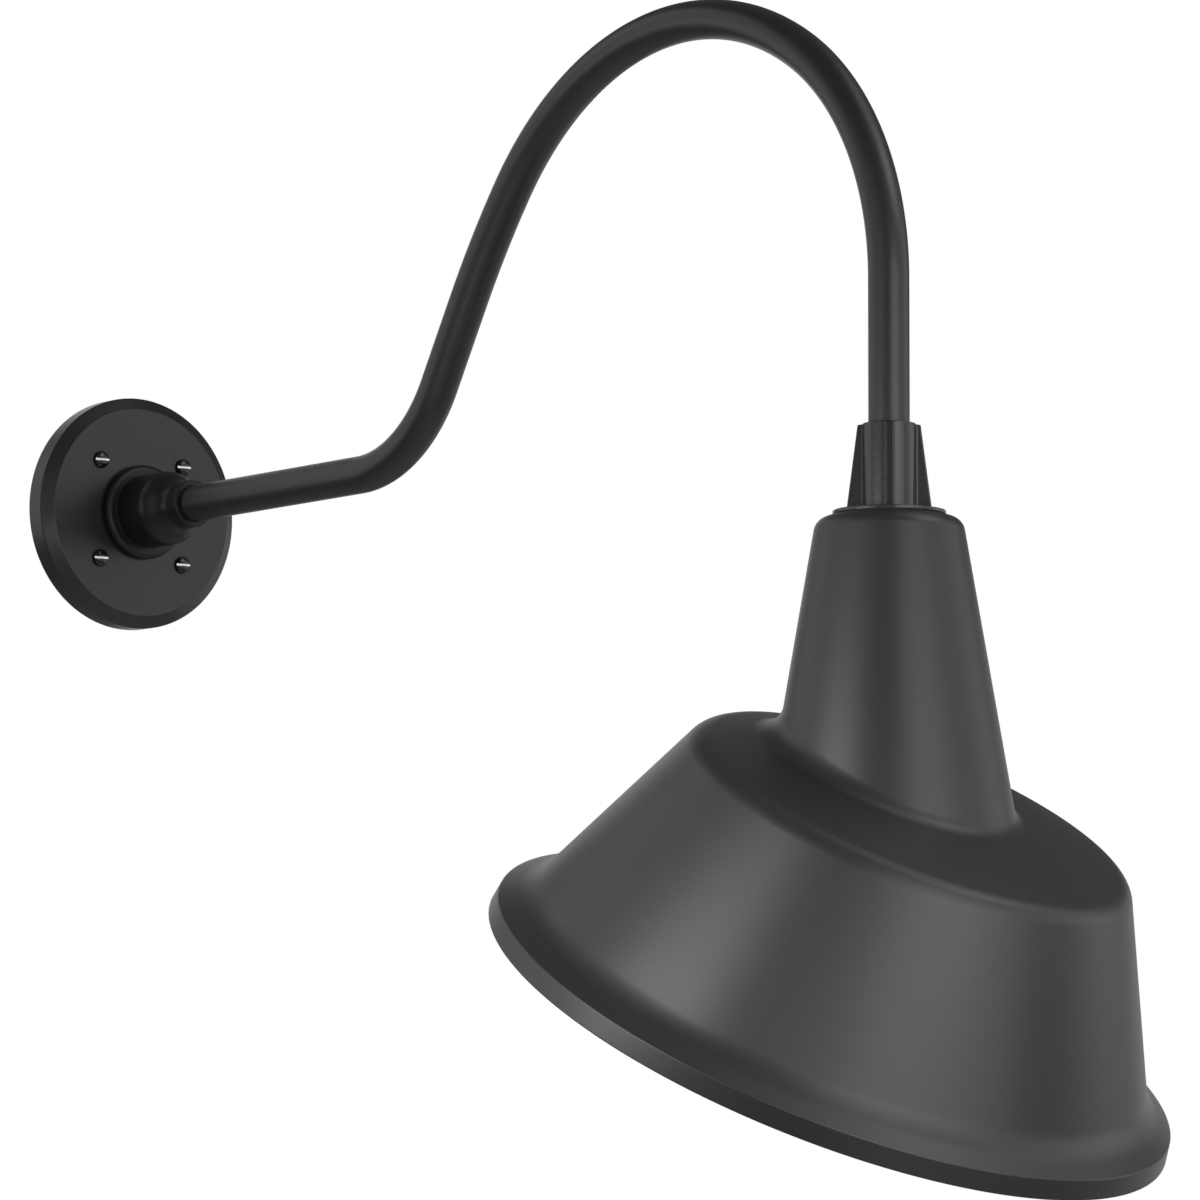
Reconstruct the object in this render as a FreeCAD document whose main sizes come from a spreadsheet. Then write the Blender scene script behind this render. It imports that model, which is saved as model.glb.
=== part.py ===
import FreeCAD, Part
import os
import Sketcher
from FreeCAD import Vector, Rotation, Placement
from math import sin, cos, acos, radians, degrees, hypot, atan2

# Barn light: a wall plate with a hub, a bent gooseneck pipe, and a head that
# turns on the pipe's vertical end. Origin at the centre of the wall plate's
# back face, on the wall; +X out of the wall, +Z up; the arm lies in the plane
# y = 0. All sizes in millimetres.

os.makedirs("parts", exist_ok=True)
doc = FreeCAD.newDocument("barn_light")
sheet = doc.addObject("Spreadsheet::Sheet", "dims")

VALUES = [
    # wall plate
    ("plate_radius", 68.6), ("plate_depth", 16.5), ("plate_side", 12.1), ("plate_face_radius", 61.5),
    ("plate_cavity_radius", 57.0), ("plate_cavity_depth", 11.5), ("plate_hole", 14.7), ("plate_round", 1.2),
    ("gasket_in", 60.2), ("gasket_out", 65.2), ("gasket_depth", 2.0),
    # mounting bracket and its holes
    ("bracket_radius", 52.0), ("bracket_opening", 20.0), ("bracket_thick", 2.0), ("boss_radius", 4.6),
    ("boss_top", 9.0), ("box_hole", 2.4), ("box_circle", 44.45),
    # plate screws: square pattern, half side
    ("screw_half", 29.2), ("screw_shank", 2.4), ("screw_hole", 2.45), ("screw_head", 5.1), ("screw_head_high", 3.2),
    ("screw_tip", 0.8), ("slot_wide", 1.3), ("slot_deep", 1.5), ("plate_screw_hole", 2.75),
    ("ground_place", 34.0), ("ground_shank", 2.0), ("ground_head", 4.0), ("ground_head_high", 2.2),
    # hub
    ("hub_start", 5.0), ("hub_bore", 8.5), ("hub_shank", 14.5), ("hub_ring_r", 24.9), ("hub_ring_half", 3.0),
    ("hub_cup", 21.7), ("hub_cup_end", 44.0), ("hub_nose_start", 62.0), ("hub_nose_end", 63.6), ("hub_nose", 13.2),
    ("hub_ogee", 11.6515), ("pipe_start", 22.0), ("thread_bore", 10.70),
    ("hub_washer_r", 21.5), ("hub_washer_thick", 1.3), ("hub_nut_af", 36.0), ("hub_nut_start", 5.4), ("hub_nut_end", 10.2),
    ("ring_start", 64.4), ("ring_end", 72.0), ("ring_radius", 13.9), ("ring_round", 1.0),
    # gooseneck
    ("pipe_radius", 10.67), ("pipe_bore", 7.9),
    ("run_one", 236.406), ("bend_one", 87.055), ("turn_one", 58.946), ("run_two", 52.122),
    ("bend_two", 526.54), ("turn_two", 7.639), ("bend_three", 188.515), ("turn_three", 84.143),
    ("bend_four", 154.25), ("turn_four", 57.164), ("run_five", 75.987), ("pipe_below", 38.5),
    ("lead_radius", 1.15), ("lead_side", 2.25), ("lead_up", 1.3), ("lead_down", 2.6), ("lead_start", 1.0),
    ("green_row", 3.5), ("green_bend", 6.4), ("green_start", 28.6), ("lead_stop", 39.3),
    # head: swivel as photographed, tilt of the reflector
    ("swivel", 5.9), ("tilt", 29.2),
    ("collar_radius", 13.85), ("collar_bore", 10.72), ("collar_seat", 40.3), ("wireway", 8.2), ("collar_low", 45.1),
    ("flange_radius", 29.2), ("flange_thick", 2.0), ("shank_radius", 15.0), ("shank_low", 61.0),
    ("rib_top", 16.2), ("rib_low", 22.0), ("rib_thick", 4.0), ("rib_root", 12.4), ("collar_round", 0.8),
    ("grub_radius", 2.5), ("grub_hole", 2.52), ("grub_in", 11.0), ("grub_out", 14.6), ("grub_level", 14.0), ("grub_hex", 1.2),
    ("bush_out", 7.85), ("bush_in", 5.6), ("bush_flange", 10.3), ("bush_high", 28.5), ("bush_low", 40.0),
    ("gasket_low", 48.1), ("seal_radius", 28.4), ("seal_bore", 15.3),
    # shade: neck
    ("neck_top_r", 37.596), ("neck_low_r", 70.530), ("neck_low", 240.0), ("neck_round", 8.5), ("neck_blend", 13.0), ("neck_in_blend", 11.4),
    ("neck_hole", 15.25), ("neck_inner_top", 49.7), ("neck_in_round", 6.9), ("neck_in_a_r", 30.4303), ("neck_in_b_r", 37.2309), ("neck_in_b_low", 55.4329), ("neck_inner_low_r", 68.907),
    # shade: tilted reflector, profile about its own axis (radius, height)
    ("axis_x", 17.18), ("axis_z", -199.11),
    ("shoulder_r", 117.6461), ("shoulder_up", 0.2509), ("wall_r", 167.97), ("wall_low", 106.68),
    ("crown_up", 11.7934), ("crown_radius", 605.32), ("crown_in_up", 10.1934), ("crown_in_radius", 603.72),
    ("lip_r", 183.48), ("lip_low", 114.94), ("rim_r", 185.2), ("rim_low", 125.59),
    ("round_in_a_r", 110.0196), ("round_in_a_up", 0.084), ("round_in_b_r", 119.3408), ("round_in_b_low", 7.1069),
    ("flare_in_a_r", 162.2783), ("flare_in_a_low", 98.3425), ("flare_in_b_r", 176.0156), ("flare_in_b_low", 112.7774),
    ("lip_in_r", 182.027), ("lip_in_low", 115.979), ("rim_in_r", 184.291), ("rim_in_low", 130.0),
    ("shoulder_round", 14.5), ("flare_round", 30.0), ("lip_round", 1.2),
    ("shoulder_in_round", 12.9), ("flare_in_round", 31.6),
    # level of the weld between neck and reflector, above the blend
    ("weld_up", 27.5),
    # clamping stack in the neck
    ("washer_r", 24.0), ("washer_low", 51.2), ("strap_low", 52.7), ("nut_af", 36.0), ("nut_low", 58.7),
    ("strap_half", 24.0), ("strap_in", 22.5), ("strap_foot_top", 83.5), ("strap_foot_low", 85.0), ("strap_foot_in", 9.0),
    ("strap_wide", 36.0), ("strap_ground", 68.0), ("strap_screw_x", 14.0), ("strap_screw_hole", 2.15),
    # lampholder and lamp, medium screw base
    ("holder_r", 19.5), ("holder_low", 138.0), ("holder_cavity", 14.0), ("holder_cavity_top", 103.5), ("holder_round", 2.0),
    ("shell_out", 13.85), ("shell_in", 13.4), ("shell_top", 103.6), ("shell_low", 136.5), ("shell_lip", 7.0),
    ("contact_r", 3.0), ("contact_top", 98.0), ("contact_disc", 4.5), ("contact_disc_top", 106.0), ("contact_low", 107.2),
    ("fix_shank", 1.9), ("fix_hole", 1.95), ("fix_low", 95.0), ("fix_head", 3.6), ("fix_head_high", 2.2),
    ("term_place", 9.0), ("term_level", 89.0), ("term_in", 10.4), ("term_out", 18.6), ("term_shank", 1.75), ("term_hole", 1.8),
    ("term_lead_hole", 1.3), ("term_lead_deep", 92.0), ("term_counter", 3.2), ("term_counter_in", 16.6),
    ("cap_r", 13.15), ("cap_in", 12.65), ("cap_top", 112.0), ("cap_low", 136.0), ("thread_rise", 0.75), ("thread_step", 3.6),
    ("button_r", 4.6), ("button_low", 109.0), ("insulator_low", 113.5),
    ("globe_r", 30.0), ("globe_level", 187.0), ("globe_neck", 13.5), ("globe_neck_arc", 30.0), ("globe_top", 130.0),
    ("globe_plug", 12.5), ("globe_plug_low", 137.0), ("globe_wall", 0.9),
    ("head_lead_start", 41.6), ("head_lead_jog", 12.0), ("head_lead_end", 91.0), ("head_green_bend", 9.0),
]
for i, (name, value) in enumerate(VALUES):
    cell = "B%d" % (i + 1)
    sheet.set("A%d" % (i + 1), name)
    sheet.set(cell, repr(value))
    sheet.setAlias(cell, name)
doc.recompute()
NUM = dict(VALUES)


class Q:
    """a size: its number now and its formula in terms of the sheet's cells"""
    def __init__(self, v, e):
        self.v, self.e = float(v), e
    def __add__(a, b):
        b = q(b); return Q(a.v + b.v, "(%s + %s)" % (a.e, b.e))
    def __sub__(a, b):
        b = q(b); return Q(a.v - b.v, "(%s - %s)" % (a.e, b.e))
    def __mul__(a, b):
        b = q(b); return Q(a.v * b.v, "%s * %s" % (a.e, b.e))
    def __truediv__(a, b):
        b = q(b); return Q(a.v / b.v, "%s / %s" % (a.e, b.e))
    def __neg__(a):
        return Q(-a.v, "(0 - %s)" % a.e)
    def __radd__(a, b): return q(b) + a
    def __rsub__(a, b): return q(b) - a
    def __rmul__(a, b): return q(b) * a


def q(x):
    return x if isinstance(x, Q) else Q(x, "%.6f" % x if x >= 0 else "(0 - %.6f)" % -x)


def P(name):
    return Q(NUM[name], "dims." + name)


def qsin(a): return Q(sin(radians(a.v)), "sin(%s)" % a.e)
def qcos(a): return Q(cos(radians(a.v)), "cos(%s)" % a.e)


def bind(obj, prop, size):
    obj.setExpression(prop, q(size).e)


def new_body(label):
    b = doc.addObject("PartDesign::Body", label)
    b.Label = label
    return b


def plane(b, role):
    for f in b.Origin.OriginFeatures:
        if f.Role == role:
            return f


count = [0]


def sketch(b, role, offset=None):
    count[0] += 1
    s = b.newObject("Sketcher::SketchObject", "%s_sketch%d" % (b.Label, count[0]))
    s.AttachmentSupport = [(plane(b, role), "")]
    s.MapMode = "FlatFace"
    if offset is not None:
        s.AttachmentOffset = offset
    return s


def pin_point(s, geo, pos, x, y):
    """fix one point of a sketch to sheet formulas"""
    for kind, val in (("DistanceX", q(x)), ("DistanceY", q(y))):
        if abs(val.v) < 1e-9 and val.e in ("0.000000",):
            # on the axis: distance zero is held by lying on it
            s.addConstraint(Sketcher.Constraint("PointOnObject", geo, pos, -2 if kind == "DistanceX" else -1))
        else:
            n = s.addConstraint(Sketcher.Constraint(kind, -1, 1, geo, pos, val.v))
            s.setExpression("Constraints[%d]" % n, val.e)


def outline(s, pts, closed=True, origin_ok=True):
    """chain of lines and arcs. pts: (x, y) or (x, y, radius, side) where the
    edge that starts at the point is an arc of that radius; side +1 bends left"""
    n = len(pts)
    m = n if closed else n - 1
    first = s.GeometryCount
    for i in range(m):
        a, b = pts[i], pts[(i + 1) % n]
        ax, ay, bx, by = q(a[0]).v, q(a[1]).v, q(b[0]).v, q(b[1]).v
        if len(a) > 2:
            r, side = q(a[2]).v, a[3]
            d = hypot(bx - ax, by - ay)
            hgt = max(r * r - d * d / 4.0, 0.0) ** 0.5
            mx, my = (ax + bx) / 2, (ay + by) / 2
            nx, ny = -(by - ay) / d, (bx - ax) / d
            cx, cy = mx + side * hgt * nx, my + side * hgt * ny
            a0, a1 = atan2(ay - cy, ax - cx), atan2(by - cy, bx - cx)
            if side < 0:
                a0, a1 = a1, a0
            s.addGeometry(Part.ArcOfCircle(Part.Circle(Vector(cx, cy, 0), Vector(0, 0, 1), r), a0, a1), False)
        else:
            s.addGeometry(Part.LineSegment(Vector(ax, ay, 0), Vector(bx, by, 0)), False)
    def ends(i):
        """start and end point numbers of edge i in drawing order"""
        a = pts[i]
        return (1, 2) if len(a) < 3 or a[3] > 0 else (2, 1)
    for i in range(m):
        if i + 1 < m or closed:
            j = (i + 1) % m
            s.addConstraint(Sketcher.Constraint("Coincident", first + i, ends(i)[1], first + j, ends(j)[0]))
    for i in range(m):
        pin_point(s, first + i, ends(i)[0], pts[i][0], pts[i][1])
        if len(pts[i]) > 2:
            c = s.addConstraint(Sketcher.Constraint("Radius", first + i, q(pts[i][2]).v))
            s.setExpression("Constraints[%d]" % c, q(pts[i][2]).e)
    if not closed:
        pin_point(s, first + m - 1, ends(m - 1)[1], pts[-1][0], pts[-1][1])
    return s


def circle(s, x, y, r):
    g = s.addGeometry(Part.Circle(Vector(q(x).v, q(y).v, 0), Vector(0, 0, 1), q(r).v), False)
    pin_point(s, g, 3, x, y)
    c = s.addConstraint(Sketcher.Constraint("Radius", g, q(r).v))
    s.setExpression("Constraints[%d]" % c, q(r).e)
    return g


def turn(b, s, axis, cut=False):
    f = b.newObject("PartDesign::Groove" if cut else "PartDesign::Revolution", "%s_turn%d" % (b.Label, count[0]))
    f.Profile = s
    f.ReferenceAxis = (s, [axis])
    f.Angle = 360
    s.Visibility = False
    return f


def pad(b, s, length, cut=False, sym=False, rev=False):
    f = b.newObject("PartDesign::Pocket" if cut else "PartDesign::Pad", "%s_ext%d" % (b.Label, count[0]))
    f.Profile = s
    f.Length = q(length).v
    bind(f, "Length", length)
    if sym:
        f.Midplane = True
    f.Reversed = rev
    return f


def edges(shape, test):
    out = []
    for i, e in enumerate(shape.Edges):
        if not e.Degenerated and test(e):
            out.append("Edge%d" % (i + 1))
    return out


def circ_at(e, r, x=None, z=None, tol=0.02):
    c = e.Curve
    if not isinstance(c, Part.Circle) or abs(c.Radius - r) > tol:
        return False
    if x is not None and abs(c.Center.x - x) > tol:
        return False
    if z is not None and abs(c.Center.z - z) > tol:
        return False
    return True


def fillet(b, base, test, radius, chamfer=False):
    doc.recompute()
    names = edges(base.Shape, test)
    if not names:
        raise RuntimeError("no edge for the fillet on " + b.Label)
    f = b.newObject("PartDesign::Chamfer" if chamfer else "PartDesign::Fillet", "%s_round%d" % (b.Label, len(b.Group)))
    f.Base = (base, names)
    if chamfer:
        f.Size = q(radius).v
        bind(f, "Size", radius)
    else:
        f.Radius = q(radius).v
        bind(f, "Radius", radius)
    return f


def polar(b, feats, axis_obj, n):
    f = b.newObject("PartDesign::PolarPattern", "%s_pattern%d" % (b.Label, len(b.Group)))
    f.Originals = feats
    f.Axis = (axis_obj, [""])
    f.Angle = 360
    f.Occurrences = n
    b.Tip = f
    return f


def axis_of(b, role):
    for f in b.Origin.OriginFeatures:
        if f.Role == role:
            return f


def hexagon(s, af):
    """hexagon across flats af about the origin of the sketch"""
    half = P(af) * 0.5
    cor = P(af) * 0.577350269
    hc = P(af) * 0.288675135
    pts = [(-half, hc), (-half, -hc), (q(0), -cor), (half, -hc), (half, hc), (q(0), cor)]
    return outline(s, pts)


ZERO = q(0)

# ---------------------------------------------------------------- wall plate
b = new_body("wall_plate")
s = sketch(b, "XZ_Plane")
outline(s, [(ZERO, P("plate_cavity_radius")), (ZERO, P("gasket_in")), (P("gasket_depth"), P("gasket_in")),
            (P("gasket_depth"), P("gasket_out")), (ZERO, P("gasket_out")), (ZERO, P("plate_radius")),
            (P("plate_side"), P("plate_radius")), (P("plate_depth"), P("plate_face_radius")),
            (P("plate_depth"), P("plate_hole")), (P("plate_cavity_depth"), P("plate_hole")),
            (P("plate_cavity_depth"), P("plate_cavity_radius"))])
f = turn(b, s, "H_Axis")
f = fillet(b, f, lambda e: circ_at(e, NUM["plate_radius"], x=NUM["plate_side"]) or circ_at(e, NUM["plate_face_radius"], x=NUM["plate_depth"]), P("plate_round"))
s = sketch(b, "YZ_Plane")
for sy in (1, -1):
    for sz in (1, -1):
        circle(s, P("screw_half") * sy if sy > 0 else -P("screw_half"), P("screw_half") if sz > 0 else -P("screw_half"), P("plate_screw_hole"))
pad(b, s, P("plate_depth") + 4, cut=True, rev=True)
wall_plate = b

# gasket ring in the back rim
b = new_body("wall_gasket")
s = sketch(b, "XZ_Plane")
outline(s, [(ZERO, P("gasket_in")), (ZERO, P("gasket_out")), (P("gasket_depth"), P("gasket_out")), (P("gasket_depth"), P("gasket_in"))])
turn(b, s, "H_Axis")

# mounting bracket: ring against the wall box, four tapped bosses for the plate screws
b = new_body("mounting_bracket")
s = sketch(b, "YZ_Plane")
circle(s, ZERO, ZERO, P("bracket_radius"))
circle(s, ZERO, ZERO, P("bracket_opening"))
pad(b, s, P("bracket_thick"))
s = sketch(b, "YZ_Plane")
for sy in (1, -1):
    for sz in (1, -1):
        circle(s, P("screw_half") if sy > 0 else -P("screw_half"), P("screw_half") if sz > 0 else -P("screw_half"), P("boss_radius"))
pad(b, s, P("boss_top"))
s = sketch(b, "YZ_Plane")
for sy in (1, -1):
    for sz in (1, -1):
        circle(s, P("screw_half") if sy > 0 else -P("screw_half"), P("screw_half") if sz > 0 else -P("screw_half"), P("screw_hole"))
for y, z in ((P("box_circle"), ZERO), (-P("box_circle"), ZERO), (ZERO, P("box_circle")), (ZERO, -P("box_circle"))):
    circle(s, y, z, P("box_hole"))
circle(s, ZERO, -P("ground_place"), P("ground_shank") + 0.05)
pad(b, s, P("boss_top") + 4, cut=True, rev=True)

# four slotted round-head screws, all slots level
b = new_body("plate_screws")
b.AllowCompound = True
for sy in (1, -1):
    for sz in (1, -1):
        s = sketch(b, "XZ_Plane", Placement(Vector(0, sz * NUM["screw_half"], sy * NUM["screw_half"]), Rotation()))
        s.setExpression("AttachmentOffset.Base.y", "dims.screw_half" if sz > 0 else "0 - dims.screw_half")
        s.setExpression("AttachmentOffset.Base.z", "dims.screw_half" if sy > 0 else "0 - dims.screw_half")
        top = P("plate_depth")
        outline(s, [(P("screw_tip"), ZERO), (P("screw_tip"), P("screw_shank") - 0.6), (P("screw_tip") + 0.6, P("screw_shank")),
                    (top, P("screw_shank")), (top, P("screw_head")), (top + 0.6, P("screw_head")),
                    (top + 2.0, P("screw_head") - 0.95), (top + 2.9, P("screw_head") - 2.5), (top + P("screw_head_high"), ZERO)])
        turn(b, s, "H_Axis")
s = sketch(b, "XZ_Plane")
deep = P("plate_depth") + P("screw_head_high") - P("slot_deep")
for sz in (1, -1):
    mid = P("screw_half") if sz > 0 else -P("screw_half")
    outline(s, [(deep, mid - P("slot_wide") * 0.5), (P("plate_depth") + 6, mid - P("slot_wide") * 0.5),
                (P("plate_depth") + 6, mid + P("slot_wide") * 0.5), (deep, mid + P("slot_wide") * 0.5)])
pad(b, s, P("screw_half") * 2 + 20, cut=True, sym=True)

# ground screw on the bracket
b = new_body("ground_screw")
s = sketch(b, "XZ_Plane")
outline(s, [(q(0.3), ZERO), (q(0.3), P("ground_shank")), (P("bracket_thick"), P("ground_shank")), (P("bracket_thick"), P("ground_head")),
            (P("bracket_thick") + P("ground_head_high"), P("ground_head") - 0.4), (P("bracket_thick") + P("ground_head_high"), ZERO)])
f = turn(b, s, "H_Axis")
s = sketch(b, "XZ_Plane")
outline(s, [(P("bracket_thick") + P("ground_head_high") - 1.0, q(-0.5)), (P("bracket_thick") + 5, q(-0.5)), (P("bracket_thick") + 5, q(0.5)), (P("bracket_thick") + P("ground_head_high") - 1.0, q(0.5))])
pad(b, s, P("ground_head") * 2 + 2, cut=True, sym=True)
b.Placement = Placement(Vector(0, 0, -NUM["ground_place"]), Rotation())
b.setExpression("Placement.Base.z", "0 - dims.ground_place")

# ---------------------------------------------------------------- hub
b = new_body("arm_hub")
s = sketch(b, "XZ_Plane")
mid_x = (P("hub_cup_end") + P("hub_nose_start")) * 0.5
mid_r = (P("hub_cup") + P("hub_nose")) * 0.5
outline(s, [(P("hub_start"), P("hub_bore")), (P("hub_start"), P("hub_shank")), (P("plate_depth"), P("hub_shank")),
            (P("plate_depth"), P("hub_ring_r"), P("hub_ring_half"), -1), (P("plate_depth") + P("hub_ring_half"), P("hub_ring_r") + P("hub_ring_half"), P("hub_ring_half"), -1),
            (P("plate_depth") + P("hub_ring_half") * 2, P("hub_ring_r")),
            (P("plate_depth") + P("hub_ring_half") * 2, P("hub_cup")), (P("hub_cup_end"), P("hub_cup"), P("hub_ogee"), -1),
            (mid_x, mid_r, P("hub_ogee"), 1), (P("hub_nose_start"), P("hub_nose")), (P("hub_nose_end"), P("hub_nose")),
            (P("hub_nose_end"), P("thread_bore")), (P("pipe_start"), P("thread_bore")), (P("pipe_start"), P("hub_bore"))])
turn(b, s, "H_Axis")

b = new_body("hub_washer")
s = sketch(b, "XZ_Plane")
outline(s, [(P("hub_nut_end"), P("hub_shank") + 0.15), (P("hub_nut_end"), P("hub_washer_r")), (P("plate_cavity_depth"), P("hub_washer_r")), (P("plate_cavity_depth"), P("hub_shank") + 0.15)])
turn(b, s, "H_Axis")

b = new_body("hub_lock_nut")
s = sketch(b, "YZ_Plane")
hexagon(s, "hub_nut_af")
circle(s, ZERO, ZERO, P("hub_shank") + 0.03)
s.AttachmentOffset = Placement(Vector(0, 0, NUM["hub_nut_start"]), Rotation())
s.setExpression("AttachmentOffset.Base.z", "dims.hub_nut_start")
pad(b, s, P("hub_nut_end") - P("hub_nut_start"))

b = new_body("pipe_lock_ring")
s = sketch(b, "XZ_Plane")
outline(s, [(P("ring_start"), P("pipe_radius") + 0.03), (P("ring_start"), P("ring_radius")), (P("ring_end"), P("ring_radius")), (P("ring_end"), P("pipe_radius") + 0.03)])
f = turn(b, s, "H_Axis")
fillet(b, f, lambda e: circ_at(e, NUM["ring_radius"]), P("ring_round"))

# ---------------------------------------------------------------- gooseneck
T1, T2, T3, T4 = P("turn_one"), P("turn_one") - P("turn_two"), P("turn_one") - P("turn_two") - P("turn_three"), P("turn_one") - P("turn_two") - P("turn_three") - P("turn_four")


def spine_points(start, offset, end_drop):
    """points of the arm's centreline, from start to the level end_drop below the collar's top.
    offset moves the line sideways within its plane (positive = up over the wall run)"""
    o = offset
    x, z = P("run_one"), q(0) + o
    pts = [start, (x, z)] if not isinstance(start, list) else start + [(x, z)]
    arcs = []
    # rising bend, centre above
    x1 = x + (P("bend_one") - o) * qsin(T1)
    z1 = z + (P("bend_one") - o) * (1 - qcos(T1))
    x2, z2 = x1 + P("run_two") * qcos(T1), z1 + P("run_two") * qsin(T1)
    x3 = x2 + (P("bend_two") + o) * (qsin(T1) - qsin(T2))
    z3 = z2 + (P("bend_two") + o) * (qcos(T2) - qcos(T1))
    x4 = x3 + (P("bend_three") + o) * (qsin(T2) - qsin(T3))
    z4 = z3 + (P("bend_three") + o) * (qcos(T3) - qcos(T2))
    x5 = x4 + (P("bend_four") + o) * (qsin(T3) + 1)
    z5 = z4 - (P("bend_four") + o) * qcos(T3)
    z6 = z5 - P("run_five") - end_drop
    return pts, (x1, z1), (x2, z2), (x3, z3), (x4, z4), (x5, z5), (x5, z6)


def spine(b, start, offset, end_drop):
    pts, p1, p2, p3, p4, p5, p6 = spine_points(start, offset, end_drop)
    o = offset
    a = pts[-1]
    chain = pts[:-1] + [(a[0], a[1], P("bend_one") - o, 1), p1, (p2[0], p2[1], P("bend_two") + o, -1), (p3[0], p3[1], P("bend_three") + o, -1),
                        (p4[0], p4[1], P("bend_four") + o, -1), p5, p6]
    s = sketch(b, "XZ_Plane")
    outline(s, chain, closed=False)
    return s


_, p1, p2, p3, p4, p5, p6 = spine_points((P("pipe_start"), ZERO), ZERO, ZERO)
NECK_X, NECK_Z = p6[0], p6[1]


def pipe_feature(b, prof, path, cut=False):
    f = b.newObject("PartDesign::SubtractivePipe" if cut else "PartDesign::AdditivePipe", "%s_sweep%d" % (b.Label, count[0]))
    f.Profile = prof
    f.Spine = (path, [])
    return f


b = new_body("arm_pipe")
path = spine(b, (P("pipe_start"), ZERO), ZERO, P("pipe_below"))
prof = sketch(b, "YZ_Plane")
circle(prof, ZERO, ZERO, P("pipe_radius"))
circle(prof, ZERO, ZERO, P("pipe_bore"))
prof.AttachmentOffset = Placement(Vector(0, 0, NUM["pipe_start"]), Rotation())
prof.setExpression("AttachmentOffset.Base.z", "dims.pipe_start")
pipe_feature(b, prof, path)

# leads in the pipe, kept apart from each other
for label, side, up in (("arm_lead_black", 1, 1), ("arm_lead_white", -1, 1)):
    b = new_body(label)
    off = P("lead_up")
    path = spine(b, (P("lead_start"), off), off, P("lead_stop"))
    prof = sketch(b, "YZ_Plane")
    circle(prof, ZERO, off, P("lead_radius"))
    prof.AttachmentOffset = Placement(Vector(0, 0, NUM["lead_start"]), Rotation())
    prof.setExpression("AttachmentOffset.Base.z", "dims.lead_start")
    pipe_feature(b, prof, path)
    b.Placement = Placement(Vector(0, side * NUM["lead_side"], 0), Rotation())
    b.setExpression("Placement.Base.y", "dims.lead_side" if side > 0 else "0 - dims.lead_side")
b = new_body("arm_lead_green")
off = -P("lead_down")
gx = P("green_row")
gz = -P("lead_down") - P("green_bend")
start = [(gx, -P("green_start")), (gx, gz, P("green_bend"), -1), (gx + P("green_bend"), off)]
path = spine(b, start, off, P("lead_stop"))
prof = sketch(b, "XY_Plane")
circle(prof, gx, ZERO, P("lead_radius"))
prof.AttachmentOffset = Placement(Vector(0, 0, -NUM["green_start"]), Rotation())
prof.setExpression("AttachmentOffset.Base.z", "0 - dims.green_start")
pipe_feature(b, prof, path)

# ---------------------------------------------------------------- head
head_labels = []


def head_body(label):
    """a body whose own Z axis is the pipe's vertical end and whose origin is the collar's top"""
    b = new_body(label)
    b.Placement = Placement(Vector(NECK_X.v, 0, NECK_Z.v), Rotation(Vector(0, 0, 1), NUM["swivel"]))
    b.setExpression("Placement.Base.x", NECK_X.e)
    b.setExpression("Placement.Base.z", NECK_Z.e)
    b.setExpression("Placement.Rotation.Angle", "dims.swivel")
    head_labels.append(label)
    return b


b = new_body("outlet_bushing")
b.Placement = Placement(Vector(NECK_X.v, 0, NECK_Z.v), Rotation())
b.setExpression("Placement.Base.x", NECK_X.e)
b.setExpression("Placement.Base.z", NECK_Z.e)
s = sketch(b, "XZ_Plane")
outline(s, [(P("bush_in"), -P("bush_high")), (P("bush_out"), -P("bush_high")), (P("bush_out"), -P("pipe_below")), (P("bush_flange"), -P("pipe_below")),
            (P("bush_flange"), -P("bush_low")), (P("bush_in"), -P("bush_low"))])
turn(b, s, "V_Axis")

b = head_body("ribbed_collar")
s = sketch(b, "XZ_Plane")
outline(s, [(P("collar_bore"), ZERO), (P("collar_radius"), ZERO), (P("collar_radius"), -P("collar_low")), (P("flange_radius"), -P("collar_low")),
            (P("flange_radius"), -P("collar_low") - P("flange_thick")), (P("shank_radius"), -P("collar_low") - P("flange_thick")),
            (P("shank_radius"), -P("shank_low")), (P("wireway"), -P("shank_low")), (P("wireway"), -P("collar_seat")), (P("collar_bore"), -P("collar_seat"))])
f = turn(b, s, "V_Axis")
s = sketch(b, "XZ_Plane", Placement(Vector(0, 0, 0), Rotation(Vector(0, 1, 0), 45)))
outline(s, [(P("rib_root"), q(-0.6)), (P("rib_top"), q(-0.6)), (P("rib_low"), -P("collar_low") - 0.2), (P("rib_root"), -P("collar_low") - 0.2)])
r = pad(b, s, P("rib_thick"), sym=True)
pt = polar(b, [r], axis_of(b, "Z_Axis"), 4)
s = sketch(b, "XZ_Plane")
circle(s, ZERO, -P("grub_level"), P("grub_hole"))
g1 = pad(b, s, q(20), cut=True)          # towards local -Y or +Y, measured below
doc.recompute()
v_before = pt.Shape.Volume
if abs(g1.Shape.Volume - v_before) < 1:
    g1.Reversed = True
s = sketch(b, "YZ_Plane")
circle(s, ZERO, -P("grub_level"), P("grub_hole"))
g2 = pad(b, s, q(20), cut=True)
doc.recompute()
collar = b

b = head_body("collar_set_screws")
b.AllowCompound = True
for role, rot in (("XZ_Plane", True), ("YZ_Plane", False)):
    s = sketch(b, role)
    circle(s, ZERO, -P("grub_level"), P("grub_radius"))
    # away from the camera side: one towards +Y, one towards the wall
    s.AttachmentOffset = Placement(Vector(0, 0, -NUM["grub_in"]), Rotation())
    s.setExpression("AttachmentOffset.Base.z", "0 - dims.grub_in")
    pad(b, s, P("grub_out") - P("grub_in"), rev=True)
    s = sketch(b, role)
    circle(s, ZERO, -P("grub_level"), P("grub_hex"))
    s.AttachmentOffset = Placement(Vector(0, 0, -NUM["grub_out"] + 1.8), Rotation())
    s.setExpression("AttachmentOffset.Base.z", "1.8 - dims.grub_out")
    pad(b, s, q(4), cut=True)

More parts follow.
